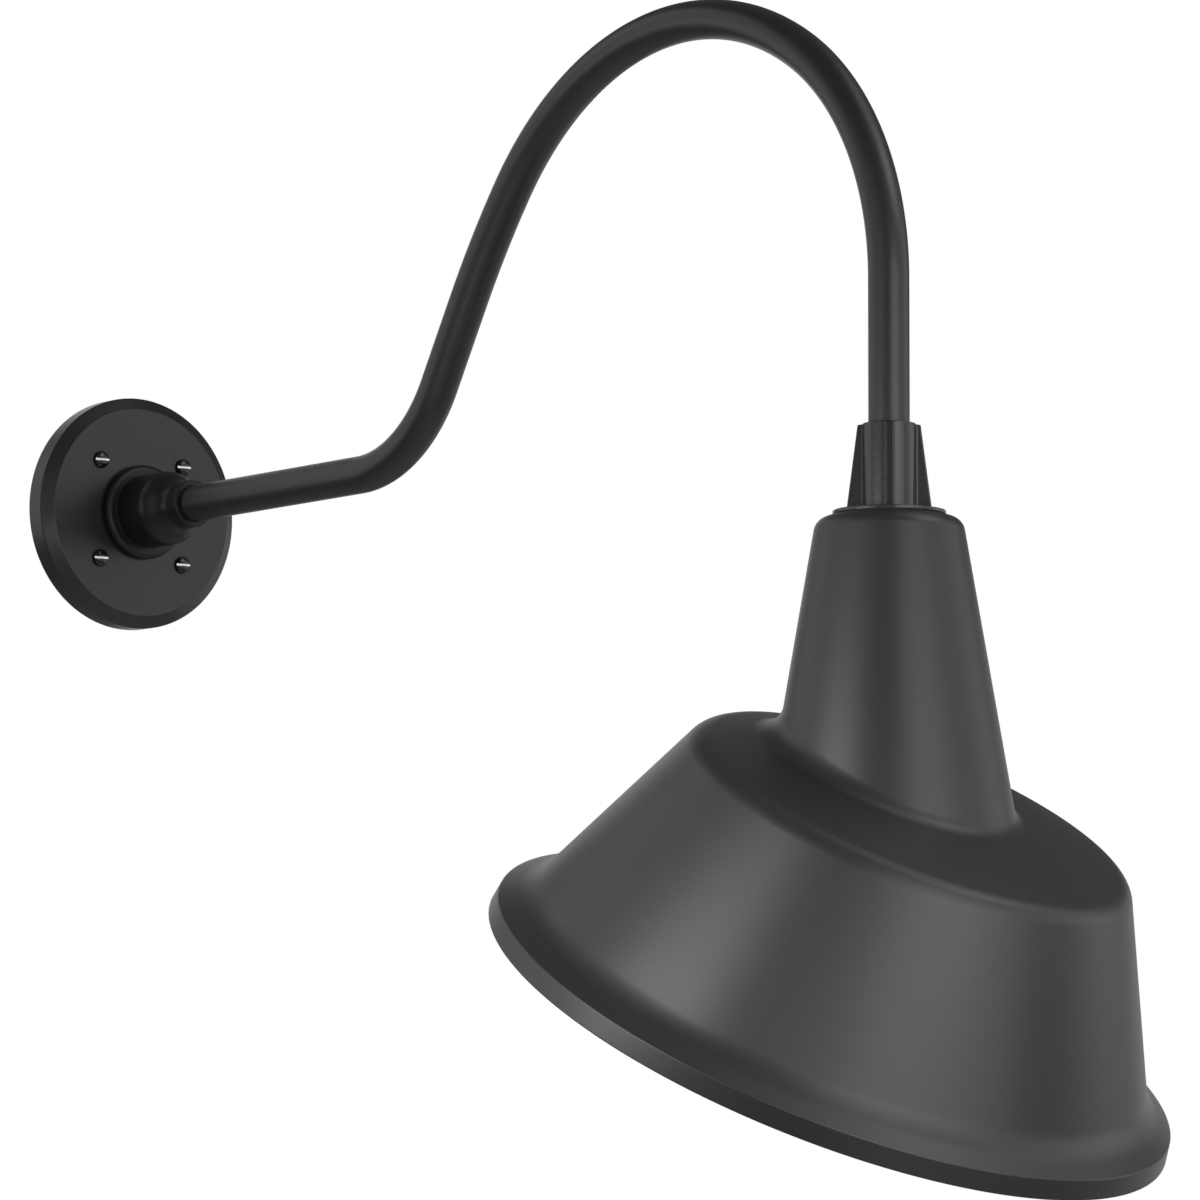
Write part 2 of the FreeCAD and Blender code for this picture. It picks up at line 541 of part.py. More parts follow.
b = head_body("collar_gasket")
s = sketch(b, "XZ_Plane")
outline(s, [(P("seal_bore"), -P("collar_low") - P("flange_thick")), (P("seal_radius"), -P("collar_low") - P("flange_thick")), (P("seal_radius"), -P("gasket_low")), (P("seal_bore"), -P("gasket_low"))])
turn(b, s, "V_Axis")


# ---------------------------------------------------------------- shade
def tilted(rho, high):
    """point of the reflector's own profile (radius, height along its axis) in the head's plane"""
    rho, high = q(rho), q(high)
    return (P("axis_x") + rho * qcos(P("tilt")) + high * qsin(P("tilt")),
            P("axis_z") - rho * qsin(P("tilt")) + high * qcos(P("tilt")))


def tilted_axis(s):
    """construction line along the reflector's axis, returned as a reference name"""
    a, c = tilted(0, 40), tilted(0, -160)
    g = s.addGeometry(Part.LineSegment(Vector(a[0].v, a[1].v, 0), Vector(c[0].v, c[1].v, 0)), True)
    pin_point(s, g, 1, *a)
    pin_point(s, g, 2, *c)
    return "Axis0"


def tilted_edge(e, rho, high):
    c = e.Curve
    if not isinstance(c, Part.Circle) or abs(c.Radius - rho) > 0.02:
        return False
    x, z = tilted(0, high)
    return abs(c.Center.x - x.v) < 0.05 and abs(c.Center.z - z.v) < 0.05


def blend_edge(e):
    """the closed curve where the neck's cone meets the crowned, tilted shoulder"""
    bb = e.BoundBox
    return not isinstance(e.Curve, (Part.Circle, Part.Line)) and -235 < bb.ZMin and bb.ZMax < -140 and bb.XLength > 90 and bb.XLength < 160 and bb.YLength > 80 and bb.YLength < 150


def inner_edge(e):
    """the closed curve where the neck's inside meets the crown's inside"""
    if isinstance(e.Curve, (Part.Circle, Part.Line)):
        return False
    mx, mz = tilted(0, P("crown_in_up") - P("crown_in_radius"))
    for t in (0.15, 0.55):
        v = e.valueAt(e.FirstParameter + t * (e.LastParameter - e.FirstParameter))
        share = (-NUM["neck_in_b_low"] - v.z) / (NUM["neck_low"] - NUM["neck_in_b_low"])
        r = NUM["neck_in_b_r"] + (NUM["neck_inner_low_r"] - NUM["neck_in_b_r"]) * share
        far = ((v.x - mx.v) ** 2 + v.y ** 2 + (v.z - mz.v) ** 2) ** 0.5
        if abs(hypot(v.x, v.y) - r) > 0.02 or abs(far - NUM["crown_in_radius"]) > 0.02:
            return False
    return True


def shade_piece(label, keep_neck):
    """the shade's whole form, neck blended into the tilted reflector and hollowed, cut off
    at the weld between the two; the reflector keeps the drawn-up edge that carries the neck"""
    b = head_body(label)
    s = sketch(b, "XZ_Plane")
    ax = tilted_axis(s)
    outline(s, [tilted(0, P("crown_up")) + (P("crown_radius"), -1), tilted(P("shoulder_r"), P("shoulder_up")), tilted(P("wall_r"), -P("wall_low")),
                tilted(P("lip_r"), -P("lip_low")), tilted(P("rim_r"), -P("rim_low")), tilted(0, -P("rim_low"))])
    f = turn(b, s, ax)
    doc.recompute()
    f = fillet(b, f, lambda e: tilted_edge(e, NUM["shoulder_r"], NUM["shoulder_up"]), P("shoulder_round"))
    f = fillet(b, f, lambda e: tilted_edge(e, NUM["wall_r"], -NUM["wall_low"]), P("flare_round"))
    f = fillet(b, f, lambda e: tilted_edge(e, NUM["lip_r"], -NUM["lip_low"]), P("lip_round"))
    s = sketch(b, "XZ_Plane")
    outline(s, [(ZERO, -P("gasket_low")), (P("neck_top_r"), -P("gasket_low")), (P("neck_low_r"), -P("neck_low")), (ZERO, -P("neck_low"))])
    f = turn(b, s, "V_Axis")
    f = fillet(b, f, lambda e: circ_at(e, NUM["neck_top_r"], z=-NUM["gasket_low"]), P("neck_round"))
    doc.recompute()
    f = fillet(b, f, blend_edge, P("neck_blend"))
    doc.recompute()
    # hollow: tilted inside first, then the inside of the neck, then the hole for the collar's shank
    s = sketch(b, "XZ_Plane")
    ax = tilted_axis(s)
    outline(s, [tilted(0, P("crown_in_up")) + (P("crown_in_radius"), -1), tilted(P("round_in_a_r"), P("round_in_a_up")) + (P("shoulder_in_round"), -1), tilted(P("round_in_b_r"), -P("round_in_b_low")),
                tilted(P("flare_in_a_r"), -P("flare_in_a_low")) + (P("flare_in_round"), 1), tilted(P("flare_in_b_r"), -P("flare_in_b_low")), tilted(P("lip_in_r"), -P("lip_in_low")), tilted(P("rim_in_r"), -P("rim_in_low")), tilted(0, -P("rim_in_low"))])
    f = turn(b, s, ax, cut=True)
    s = sketch(b, "XZ_Plane")
    outline(s, [(ZERO, -P("neck_inner_top")), (P("neck_in_a_r"), -P("neck_inner_top"), P("neck_in_round"), -1), (P("neck_in_b_r"), -P("neck_in_b_low")), (P("neck_inner_low_r"), -P("neck_low")), (ZERO, -P("neck_low"))])
    f = turn(b, s, "V_Axis", cut=True)
    f = fillet(b, f, inner_edge, P("neck_in_blend"))
    if keep_neck:
        s = sketch(b, "XZ_Plane")
        outline(s, [(ZERO, -P("gasket_low") + 2), (P("neck_hole"), -P("gasket_low") + 2), (P("neck_hole"), -P("neck_inner_top") - 2), (ZERO, -P("neck_inner_top") - 2)])
        f = turn(b, s, "V_Axis", cut=True)
    doc.recompute()
    whole = f.Shape.Volume
    # everything on the other side of the weld
    far = -300 if keep_neck else 300
    s = sketch(b, "XZ_Plane")
    outline(s, [tilted(-260, P("weld_up")), tilted(260, P("weld_up")), tilted(260, P("weld_up") + far), tilted(-260, P("weld_up") + far)])
    f = pad(b, s, q(600), cut=True, sym=True)
    doc.recompute()
    print(label, "keeps", round(f.Shape.Volume, 1), "of", round(whole, 1))
    return b


shade_piece("shade_reflector", False)
shade_piece("shade_neck", True)

# clamping stack
b = head_body("shade_washer")
s = sketch(b, "XZ_Plane")
outline(s, [(P("neck_hole"), -P("neck_inner_top")), (P("washer_r"), -P("neck_inner_top")), (P("washer_r"), -P("washer_low")), (P("neck_hole"), -P("washer_low"))])
turn(b, s, "V_Axis")

b = head_body("shade_lock_nut")
s = sketch(b, "XY_Plane")
hexagon(s, "nut_af")
circle(s, ZERO, ZERO, P("shank_radius") + 0.03)
s.AttachmentOffset = Placement(Vector(0, 0, -NUM["nut_low"]), Rotation())
s.setExpression("AttachmentOffset.Base.z", "0 - dims.nut_low")
pad(b, s, P("nut_low") - P("strap_low"))

b = head_body("socket_bracket")
s = sketch(b, "XZ_Plane")
outline(s, [(-P("strap_half"), -P("washer_low")), (P("strap_half"), -P("washer_low")), (P("strap_half"), -P("strap_foot_low")), (P("strap_foot_in"), -P("strap_foot_low")),
            (P("strap_foot_in"), -P("strap_foot_top")), (P("strap_in"), -P("strap_foot_top")), (P("strap_in"), -P("strap_low")), (-P("strap_in"), -P("strap_low")),
            (-P("strap_in"), -P("strap_foot_top")), (-P("strap_foot_in"), -P("strap_foot_top")), (-P("strap_foot_in"), -P("strap_foot_low")), (-P("strap_half"), -P("strap_foot_low"))])
f = pad(b, s, P("strap_wide"), sym=True)


def bend_edges(e):
    bb = e.BoundBox
    if bb.YLength < NUM["strap_wide"] - 0.1 or bb.XLength > 0.01 or bb.ZLength > 0.01:
        return False
    return abs(abs(bb.XMin) - NUM["strap_half"]) < 0.01


f = fillet(b, f, bend_edges, q(2.2))
s = sketch(b, "XY_Plane")
circle(s, ZERO, ZERO, P("neck_hole"))
f = pad(b, s, q(60), cut=True)
s = sketch(b, "XY_Plane")
circle(s, P("strap_screw_x"), ZERO, P("strap_screw_hole"))
circle(s, -P("strap_screw_x"), ZERO, P("strap_screw_hole"))
s.AttachmentOffset = Placement(Vector(0, 0, -80), Rotation())
f = pad(b, s, q(10), cut=True)
s = sketch(b, "YZ_Plane")
circle(s, ZERO, -P("strap_ground"), P("ground_shank") + 0.05)
s.AttachmentOffset = Placement(Vector(0, 0, -15), Rotation())
f = pad(b, s, q(15), cut=True)
strap = b

b = head_body("bracket_ground_screw")
s = sketch(b, "XZ_Plane")
outline(s, [(-P("strap_half") - 2, -P("strap_ground")), (-P("strap_half") - 2, -P("strap_ground") + P("ground_shank")), (-P("strap_in"), -P("strap_ground") + P("ground_shank")),
            (-P("strap_in"), -P("strap_ground") + P("ground_head")), (-P("strap_in") + P("ground_head_high"), -P("strap_ground") + P("ground_head") - 0.4), (-P("strap_in") + P("ground_head_high"), -P("strap_ground"))])
a, c = (-P("strap_half") - 6, -P("strap_ground")), (-P("strap_in") + 6, -P("strap_ground"))
g = s.addGeometry(Part.LineSegment(Vector(a[0].v, a[1].v, 0), Vector(c[0].v, c[1].v, 0)), True)
pin_point(s, g, 1, *a)
pin_point(s, g, 2, *c)
turn(b, s, "Axis0")

# ---------------------------------------------------------------- lampholder
b = head_body("lampholder_body")
s = sketch(b, "XZ_Plane")
outline(s, [(ZERO, -P("strap_foot_low")), (P("holder_r"), -P("strap_foot_low")), (P("holder_r"), -P("holder_low")), (P("holder_cavity"), -P("holder_low")),
            (P("holder_cavity"), -P("holder_cavity_top")), (P("contact_r") + 0.05, -P("holder_cavity_top")), (P("contact_r") + 0.05, -P("contact_top")), (ZERO, -P("contact_top"))])
f = turn(b, s, "V_Axis")
f = fillet(b, f, lambda e: circ_at(e, NUM["holder_r"], z=-NUM["holder_low"]) or circ_at(e, NUM["holder_r"], z=-NUM["strap_foot_low"]), P("holder_round"))
s = sketch(b, "XY_Plane")
circle(s, P("strap_screw_x"), ZERO, P("fix_hole"))
circle(s, -P("strap_screw_x"), ZERO, P("fix_hole"))
s.AttachmentOffset = Placement(Vector(0, 0, -80), Rotation())
pad(b, s, P("fix_low") - 80 + 0.5, cut=True)
s = sketch(b, "XY_Plane")
circle(s, P("lead_up"), P("term_place"), P("term_lead_hole"))
circle(s, P("lead_up"), -P("term_place"), P("term_lead_hole"))
s.AttachmentOffset = Placement(Vector(0, 0, -80), Rotation())
pad(b, s, P("term_lead_deep") - 80, cut=True)
for side in (1, -1):
    for wide, depth in (("term_hole", "term_in"), ("term_counter", "term_counter_in")):
        s = sketch(b, "XZ_Plane")
        circle(s, P("lead_up"), -P("term_level"), P(wide))
        s.AttachmentOffset = Placement(Vector(0, 0, side * 30), Rotation())
        pad(b, s, 30 - P(depth), cut=True, rev=side < 0)
holder = b

b = head_body("lampholder_shell")
s = sketch(b, "XZ_Plane")
outline(s, [(P("shell_lip"), -P("shell_top")), (P("shell_out"), -P("shell_top")), (P("shell_out"), -P("shell_low")), (P("shell_in"), -P("shell_low")),
            (P("shell_in"), -P("shell_top") - 0.5), (P("shell_lip"), -P("shell_top") - 0.5)])
turn(b, s, "V_Axis")

b = head_body("lampholder_contact")
s = sketch(b, "XZ_Plane")
outline(s, [(ZERO, -P("contact_top")), (P("contact_r"), -P("contact_top")), (P("contact_r"), -P("contact_disc_top")), (P("contact_disc"), -P("contact_disc_top")), (P("contact_disc"), -P("contact_low")), (ZERO, -P("contact_low"))])
turn(b, s, "V_Axis")

b = head_body("lampholder_screws")
b.AllowCompound = True
for side in (1, -1):
    cx = P("strap_screw_x") if side > 0 else -P("strap_screw_x")
    s = sketch(b, "XZ_Plane", Placement(Vector(side * NUM["strap_screw_x"], 0, 0), Rotation()))
    s.setExpression("AttachmentOffset.Base.x", cx.e)
    outline(s, [(ZERO, -P("strap_foot_top") + P("fix_head_high")), (P("fix_head") - 0.9, -P("strap_foot_top") + P("fix_head_high")), (P("fix_head"), -P("strap_foot_top") + P("fix_head_high") - 0.9), (P("fix_head"), -P("strap_foot_top")),
                (P("fix_shank"), -P("strap_foot_top")), (P("fix_shank"), -P("fix_low")), (ZERO, -P("fix_low"))])
    turn(b, s, "V_Axis")
    s = sketch(b, "XY_Plane", Placement(Vector(0, 0, -NUM["strap_foot_top"] + NUM["fix_head_high"] - 1.0), Rotation()))
    outline(s, [(cx - 0.45, q(-6)), (cx + 0.45, q(-6)), (cx + 0.45, q(6)), (cx - 0.45, q(6))])
    s.setExpression("AttachmentOffset.Base.z", "dims.fix_head_high - 1 - dims.strap_foot_top")
    pad(b, s, q(3), cut=True, rev=True)

b = head_body("terminal_screws")
b.AllowCompound = True
for side in (1, -1):
    s = sketch(b, "XZ_Plane")
    circle(s, P("lead_up"), -P("term_level"), P("term_shank"))
    s.AttachmentOffset = Placement(Vector(0, 0, side * NUM["term_in"]), Rotation())
    s.setExpression("AttachmentOffset.Base.z", "dims.term_in" if side > 0 else "0 - dims.term_in")
    pad(b, s, P("term_counter_in") - P("term_in"), rev=side < 0)
    s = sketch(b, "XZ_Plane")
    circle(s, P("lead_up"), -P("term_level"), P("term_counter") - 0.2)
    s.AttachmentOffset = Placement(Vector(0, 0, side * NUM["term_counter_in"]), Rotation())
    s.setExpression("AttachmentOffset.Base.z", "dims.term_counter_in" if side > 0 else "0 - dims.term_counter_in")
    pad(b, s, P("term_out") - P("term_counter_in"), rev=side < 0)
    s = sketch(b, "XZ_Plane")
    outline(s, [(P("lead_up") - 4, -P("term_level") - 0.4), (P("lead_up") + 4, -P("term_level") - 0.4), (P("lead_up") + 4, -P("term_level") + 0.4), (P("lead_up") - 4, -P("term_level") + 0.4)])
    s.AttachmentOffset = Placement(Vector(0, 0, side * (NUM["term_out"] - 0.8)), Rotation())
    pad(b, s, q(2), cut=True, rev=side > 0)

# ---------------------------------------------------------------- lamp
b = head_body("lamp_cap")
s = sketch(b, "XZ_Plane")
pts = [(P("cap_in"), -P("cap_low")), (P("cap_in"), -P("cap_top")), (P("cap_r") - P("thread_rise"), -P("cap_top"))]
pts = [(P("cap_in") - 0.8, -P("cap_low")), (P("cap_in") - 0.8, -P("cap_top")), (P("cap_r") - P("thread_rise") - 0.1, -P("cap_top"))]
z = P("cap_top") + 1.0
for i in range(6):
    pts.append((P("cap_r") - P("thread_rise"), -z))
    pts.append((P("cap_r"), -z - P("thread_step") * 0.5))
    z = z + P("thread_step")
pts.append((P("cap_r") - P("thread_rise"), -z))
pts.append((P("cap_r") - P("thread_rise"), -P("cap_low")))
outline(s, pts)
turn(b, s, "V_Axis")

b = head_body("lamp_insulator")
s = sketch(b, "XZ_Plane")
outline(s, [(ZERO, -P("button_low")), (P("button_r") + 0.8, -P("button_low")), (P("cap_in") - 0.9, -P("cap_top") + 0.4), (P("cap_in") - 0.9, -P("insulator_low")), (ZERO, -P("insulator_low"))])
turn(b, s, "V_Axis")

b = head_body("lamp_button")
s = sketch(b, "XZ_Plane")
outline(s, [(ZERO, -P("contact_low")), (P("button_r") - 1.4, -P("contact_low")), (P("button_r"), -P("contact_low") - 0.9), (P("button_r"), -P("button_low")), (ZERO, -P("button_low"))])
turn(b, s, "V_Axis")

b = head_body("lamp_globe")
arc_x = P("globe_neck") + P("globe_neck_arc")
sum_r = P("globe_r") + P("globe_neck_arc")
rise = (NUM["globe_r"] + NUM["globe_neck_arc"]) ** 2 - (NUM["globe_neck"] + NUM["globe_neck_arc"]) ** 2
rise_q = Q(rise ** 0.5, "sqrt((dims.globe_r + dims.globe_neck_arc) * (dims.globe_r + dims.globe_neck_arc) - (dims.globe_neck + dims.globe_neck_arc) * (dims.globe_neck + dims.globe_neck_arc))")
arc_z = rise_q - P("globe_level")
tx = arc_x * P("globe_r") / sum_r
tz = rise_q * P("globe_r") / sum_r - P("globe_level")
w = P("globe_wall")
ri, rn = P("globe_r") - w, P("globe_neck_arc") + w
itx = arc_x * (P("globe_r") - w) / sum_r
itz = rise_q * (P("globe_r") - w) / sum_r - P("globe_level")
s = sketch(b, "XZ_Plane")
outline(s, [(P("cap_in") - 1.0 - w, -P("globe_top")), (P("cap_in") - 1.0, -P("globe_top")), (P("cap_in") - 1.0, -P("globe_plug_low")), (P("globe_neck"), -P("globe_plug_low")),
            (P("globe_neck"), arc_z, P("globe_neck_arc"), 1), (tx, tz, P("globe_r"), -1), (P("globe_r"), -P("globe_level"), P("globe_r"), -1), (ZERO, -P("globe_level") - P("globe_r")),
            (ZERO, -P("globe_level") - P("globe_r") + w, ri, 1), (P("globe_r") - w, -P("globe_level"), ri, 1), (itx, itz, rn, -1), (P("globe_neck") - w, arc_z),
            (P("globe_neck") - w, -P("globe_plug_low") - w), (P("cap_in") - 1.0 - w, -P("globe_plug_low") - w)])
turn(b, s, "V_Axis")

# ---------------------------------------------------------------- leads in the head
jog = P("term_place") - P("lead_side")
# two equal arcs shift the lead sideways by jog; their angle follows from radius and shift
ang = Q(degrees(acos(1 - jog.v / (2 * NUM["head_lead_jog"]))), "acos(1 - (dims.term_place - dims.lead_side) / (2 * dims.head_lead_jog))")
jr = P("head_lead_jog")
zs = P("head_lead_end") - 10
for label, side in (("head_lead_black", 1), ("head_lead_white", -1)):
    b = head_body(label)
    sg = 1 if side > 0 else -1
    def sy(v):
        return v if sg > 0 else -v
    y0, y1 = P("lead_side"), P("term_place")
    half = jr * qsin(ang)
    zt = -(zs) + half * 2
    s = sketch(b, "YZ_Plane", Placement(Vector(0, 0, NUM["lead_up"]), Rotation()))
    s.setExpression("AttachmentOffset.Base.z", "dims.lead_up")
    outline(s, [(sy(y0), -P("head_lead_start")), (sy(y0), zt, jr, 1 if sg > 0 else -1), (sy((y0 + y1) * 0.5), zt - half, jr, -1 if sg > 0 else 1), (sy(y1), -zs), (sy(y1), -P("head_lead_end"))], closed=False)
    prof = sketch(b, "XY_Plane", Placement(Vector(0, 0, -NUM["head_lead_start"]), Rotation()))
    circle(prof, P("lead_up"), sy(y0), P("lead_radius"))
    prof.setExpression("AttachmentOffset.Base.z", "0 - dims.head_lead_start")
    pipe_feature(b, prof, s)
b = head_body("head_lead_green")
s = sketch(b, "XZ_Plane")
gz = -P("strap_ground") + P("head_green_bend")
outline(s, [(-P("lead_down"), -P("head_lead_start")), (-P("lead_down"), gz, P("head_green_bend"), -1), (-P("lead_down") - P("head_green_bend"), -P("strap_ground")),
            (-P("strap_in") + P("ground_head_high") + 0.02, -P("strap_ground"))], closed=False)
prof = sketch(b, "XY_Plane", Placement(Vector(0, 0, -NUM["head_lead_start"]), Rotation()))
circle(prof, -P("lead_down"), ZERO, P("lead_radius"))
prof.setExpression("AttachmentOffset.Base.z", "0 - dims.head_lead_start")
pipe_feature(b, prof, s)

# ---------------------------------------------------------------- checks and files
doc.recompute()
bad = []
for o in doc.Objects:
    st = list(o.State)
    if "Invalid" in st or "Error" in st:
        bad.append((o.Name, st))
bodies = [o for o in doc.Objects if o.TypeId == "PartDesign::Body"]
for o in bodies:
    sh = o.Shape
    if sh.isNull() or not sh.isValid() or not sh.Solids:
        bad.append((o.Label, "shape"))
    else:
        bb = sh.BoundBox
        print("%-22s solids %d volume %10.1f box %s" % (o.Label, len(sh.Solids), sh.Volume, [round(v, 2) for v in (bb.XMin, bb.XMax, bb.YMin, bb.YMax, bb.ZMin, bb.ZMax)]))
print("neck at", NECK_X.v, NECK_Z.v)
if bad:
    raise RuntimeError("failed objects: %s" % bad)
for o in bodies:
    o.Shape.exportStep("parts/%s.step" % o.Label)
print(len(bodies), "files")
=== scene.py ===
import math

import bmesh
import bpy
from mathutils import Matrix, Vector


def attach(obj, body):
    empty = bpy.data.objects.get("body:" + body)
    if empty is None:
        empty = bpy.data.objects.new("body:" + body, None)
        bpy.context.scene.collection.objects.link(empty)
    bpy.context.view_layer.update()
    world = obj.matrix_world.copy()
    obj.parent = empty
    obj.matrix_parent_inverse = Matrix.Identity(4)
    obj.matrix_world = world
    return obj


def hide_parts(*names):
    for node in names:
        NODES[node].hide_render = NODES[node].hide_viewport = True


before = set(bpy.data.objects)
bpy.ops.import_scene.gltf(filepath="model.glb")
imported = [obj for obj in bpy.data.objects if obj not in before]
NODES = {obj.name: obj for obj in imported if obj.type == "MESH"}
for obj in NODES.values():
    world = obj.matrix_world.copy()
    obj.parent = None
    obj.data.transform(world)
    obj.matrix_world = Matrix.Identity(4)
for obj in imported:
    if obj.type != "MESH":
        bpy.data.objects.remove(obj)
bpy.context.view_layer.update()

# Barn light. Shapes are written in millimetres and turned into metres when a
# mesh is made. Pieces of the arm use the row frame; pieces of the head are
# drawn about the pipe's vertical end, with the swivel turned as photographed.

MM = 0.001


# ------------------------------------------------------------------ numbers
PIPE_R, PIPE_BORE, PIPE_START = 10.67, 7.9, 22.0
RUN_1, BEND_1, TURN_1, RUN_2 = 236.406, 87.055, math.radians(58.946), 52.122
BEND_2, TURN_2, BEND_3, TURN_3 = 526.54, math.radians(7.639), 188.515, math.radians(84.143)
BEND_4, TURN_4, RUN_5, PIPE_BELOW = 154.25, math.radians(57.164), 75.987, 38.5
SWIVEL, TILT = math.radians(5.9), math.radians(29.2)

T1 = TURN_1
T2 = T1 - TURN_2
T3 = T2 - TURN_3
X1 = RUN_1 + BEND_1 * math.sin(T1)
Z1 = BEND_1 * (1 - math.cos(T1))
X2, Z2 = X1 + RUN_2 * math.cos(T1), Z1 + RUN_2 * math.sin(T1)
X3, Z3 = X2 + BEND_2 * (math.sin(T1) - math.sin(T2)), Z2 + BEND_2 * (math.cos(T2) - math.cos(T1))
X4, Z4 = X3 + BEND_3 * (math.sin(T2) - math.sin(T3)), Z3 + BEND_3 * (math.cos(T3) - math.cos(T2))
NECK_X = X4 + BEND_4 * (math.sin(T3) + 1)
NECK_Z = Z4 - BEND_4 * math.cos(T3) - RUN_5

ROW = Matrix.Identity(4)
HEAD = Matrix.Translation((NECK_X, 0, NECK_Z)) @ Matrix.Rotation(SWIVEL, 4, "Z")
TO_X = Matrix(((0, 0, 1, 0), (1, 0, 0, 0), (0, 1, 0, 0), (0, 0, 0, 1)))   # a turned piece's own Z becomes the row's +X


# ------------------------------------------------------------------ mesh tools
def rounded(points, closed=True, fine=7.0):
    """polyline (x, y, corner radius) with its corners turned into arcs, a step every few degrees"""
    out = []
    n = len(points)
    for i, p in enumerate(points):
        r = p[2] if len(p) > 2 else 0.0
        if r <= 0 or (not closed and i in (0, n - 1)):
            out.append((p[0], p[1]))
            continue
        a, c = points[i - 1], points[(i + 1) % n]
        u = Vector((a[0] - p[0], a[1] - p[1]))
        v = Vector((c[0] - p[0], c[1] - p[1]))
        lu, lv = u.length, v.length
        u, v = u / lu, v / lv
        half = math.acos(max(-1, min(1, u.dot(v)))) / 2
        reach = min(r / math.tan(half), 0.499 * lu, 0.499 * lv)
        r = reach * math.tan(half)
        mid = (u + v).normalized()
        centre = Vector((p[0], p[1])) + mid * (r / math.sin(half))
        s = Vector((p[0], p[1])) + u * reach - centre
        e = Vector((p[0], p[1])) + v * reach - centre
        turn = math.pi - 2 * half
        steps = max(3, int(math.ceil(math.degrees(turn) / fine)))
        sign = 1 if s.x * e.y - s.y * e.x > 0 else -1
        a0 = math.atan2(s.y, s.x)
        for k in range(steps + 1):
            t = a0 + sign * turn * k / steps
            out.append((centre.x + r * math.cos(t), centre.y + r * math.sin(t)))
    return out


def split_long(line, longest, closed=False):
    """adds points on runs longer than that"""
    out = []
    n = len(line)
    for i in range(n if closed else n - 1):
        a, b = line[i], line[(i + 1) % n]
        k = max(1, int(math.ceil(math.hypot(b[0] - a[0], b[1] - a[1]) / longest)))
        out += [(a[0] + (b[0] - a[0]) * j / k, a[1] + (b[1] - a[1]) * j / k) for j in range(k)]
    if not closed:
        out.append(line[-1])
    return out


def piece(name, verts, faces, place, material, body, nodes=(), angle=None, weighted=True):
    """one mesh object from points in millimetres, riding on its body and standing for its nodes"""
    me = bpy.data.meshes.new(name)
    me.from_pydata([tuple((place @ Vector(v)) * MM) for v in verts], [], faces)
    me.validate()
    bm = bmesh.new()
    bm.from_mesh(me)
    bmesh.ops.recalc_face_normals(bm, faces=bm.faces)
    bm.to_mesh(me)
    bm.free()
    me.shade_smooth()
    if angle:
        me.set_sharp_from_angle(angle=math.radians(angle))
    ob = bpy.data.objects.new(name, me)
    bpy.context.scene.collection.objects.link(ob)
    for m in (material if isinstance(material, (list, tuple)) else [material]):
        me.materials.append(m)
    if weighted:
        mod = ob.modifiers.new("even normals", "WEIGHTED_NORMAL")
        mod.keep_sharp = True
        mod.weight = 60
    if body:
        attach(ob, body)
    if nodes:
        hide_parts(*nodes)
    return ob


def tube_faces(rows, columns, close_rows, offset=0):
    faces = []
    for i in range(rows if close_rows else rows - 1):
        a, b = i * columns, ((i + 1) % rows) * columns
        for j in range(columns):
            k = (j + 1) % columns
            faces.append((offset + a + j, offset + a + k, offset + b + k, offset + b + j))
    return faces


def turned(profile, columns, closed=True):
    """points and faces of a profile (radius, height) turned about Z; ends on the axis become single points"""
    if closed:
        verts = [(r * math.cos(2 * math.pi * j / columns), r * math.sin(2 * math.pi * j / columns), h)
                 for r, h in profile for j in range(columns)]
        return verts, tube_faces(len(profile), columns, True)
    body = [p for p in profile if p[0] > 1e-6]
    verts = [(r * math.cos(2 * math.pi * j / columns), r * math.sin(2 * math.pi * j / columns), h)
             for r, h in body for j in range(columns)]
    faces = tube_faces(len(body), columns, False)
    for end, row in ((0, 0), (-1, len(body) - 1)):
        if profile[end][0] <= 1e-6:
            verts.append((0, 0, profile[end][1]))
            tip = len(verts) - 1
            faces += [(tip, row * columns + j, row * columns + (j + 1) % columns) for j in range(columns)]
    return verts, faces


def solid_tool(verts, faces, place):
    """a plain cutter for boolean cuts, removed afterwards"""
    me = bpy.data.meshes.new("cutter")
    me.from_pydata([tuple((place @ Vector(v)) * MM) for v in verts], [], faces)
    bm = bmesh.new()
    bm.from_mesh(me)
    bmesh.ops.recalc_face_normals(bm, faces=bm.faces)
    bm.to_mesh(me)
    bm.free()
    ob = bpy.data.objects.new("cutter", me)
    bpy.context.scene.collection.objects.link(ob)
    return ob


def rod(radius, low, high, columns=48):
    ring = [(radius * math.cos(2 * math.pi * j / columns), radius * math.sin(2 * math.pi * j / columns)) for j in range(columns)]
    verts = [(x, y, z) for z in (low, high) for x, y in ring]
    faces = [(j, (j + 1) % columns, columns + (j + 1) % columns, columns + j) for j in range(columns)]
    faces += [tuple(reversed(range(columns))), tuple(range(columns, 2 * columns))]
    return verts, faces


def block(lo, hi):
    verts = [(x, y, z) for x in (lo[0], hi[0]) for y in (lo[1], hi[1]) for z in (lo[2], hi[2])]
    faces = [(0, 1, 3, 2), (4, 6, 7, 5), (0, 4, 5, 1), (2, 3, 7, 6), (0, 2, 6, 4), (1, 5, 7, 3)]
    return verts, faces


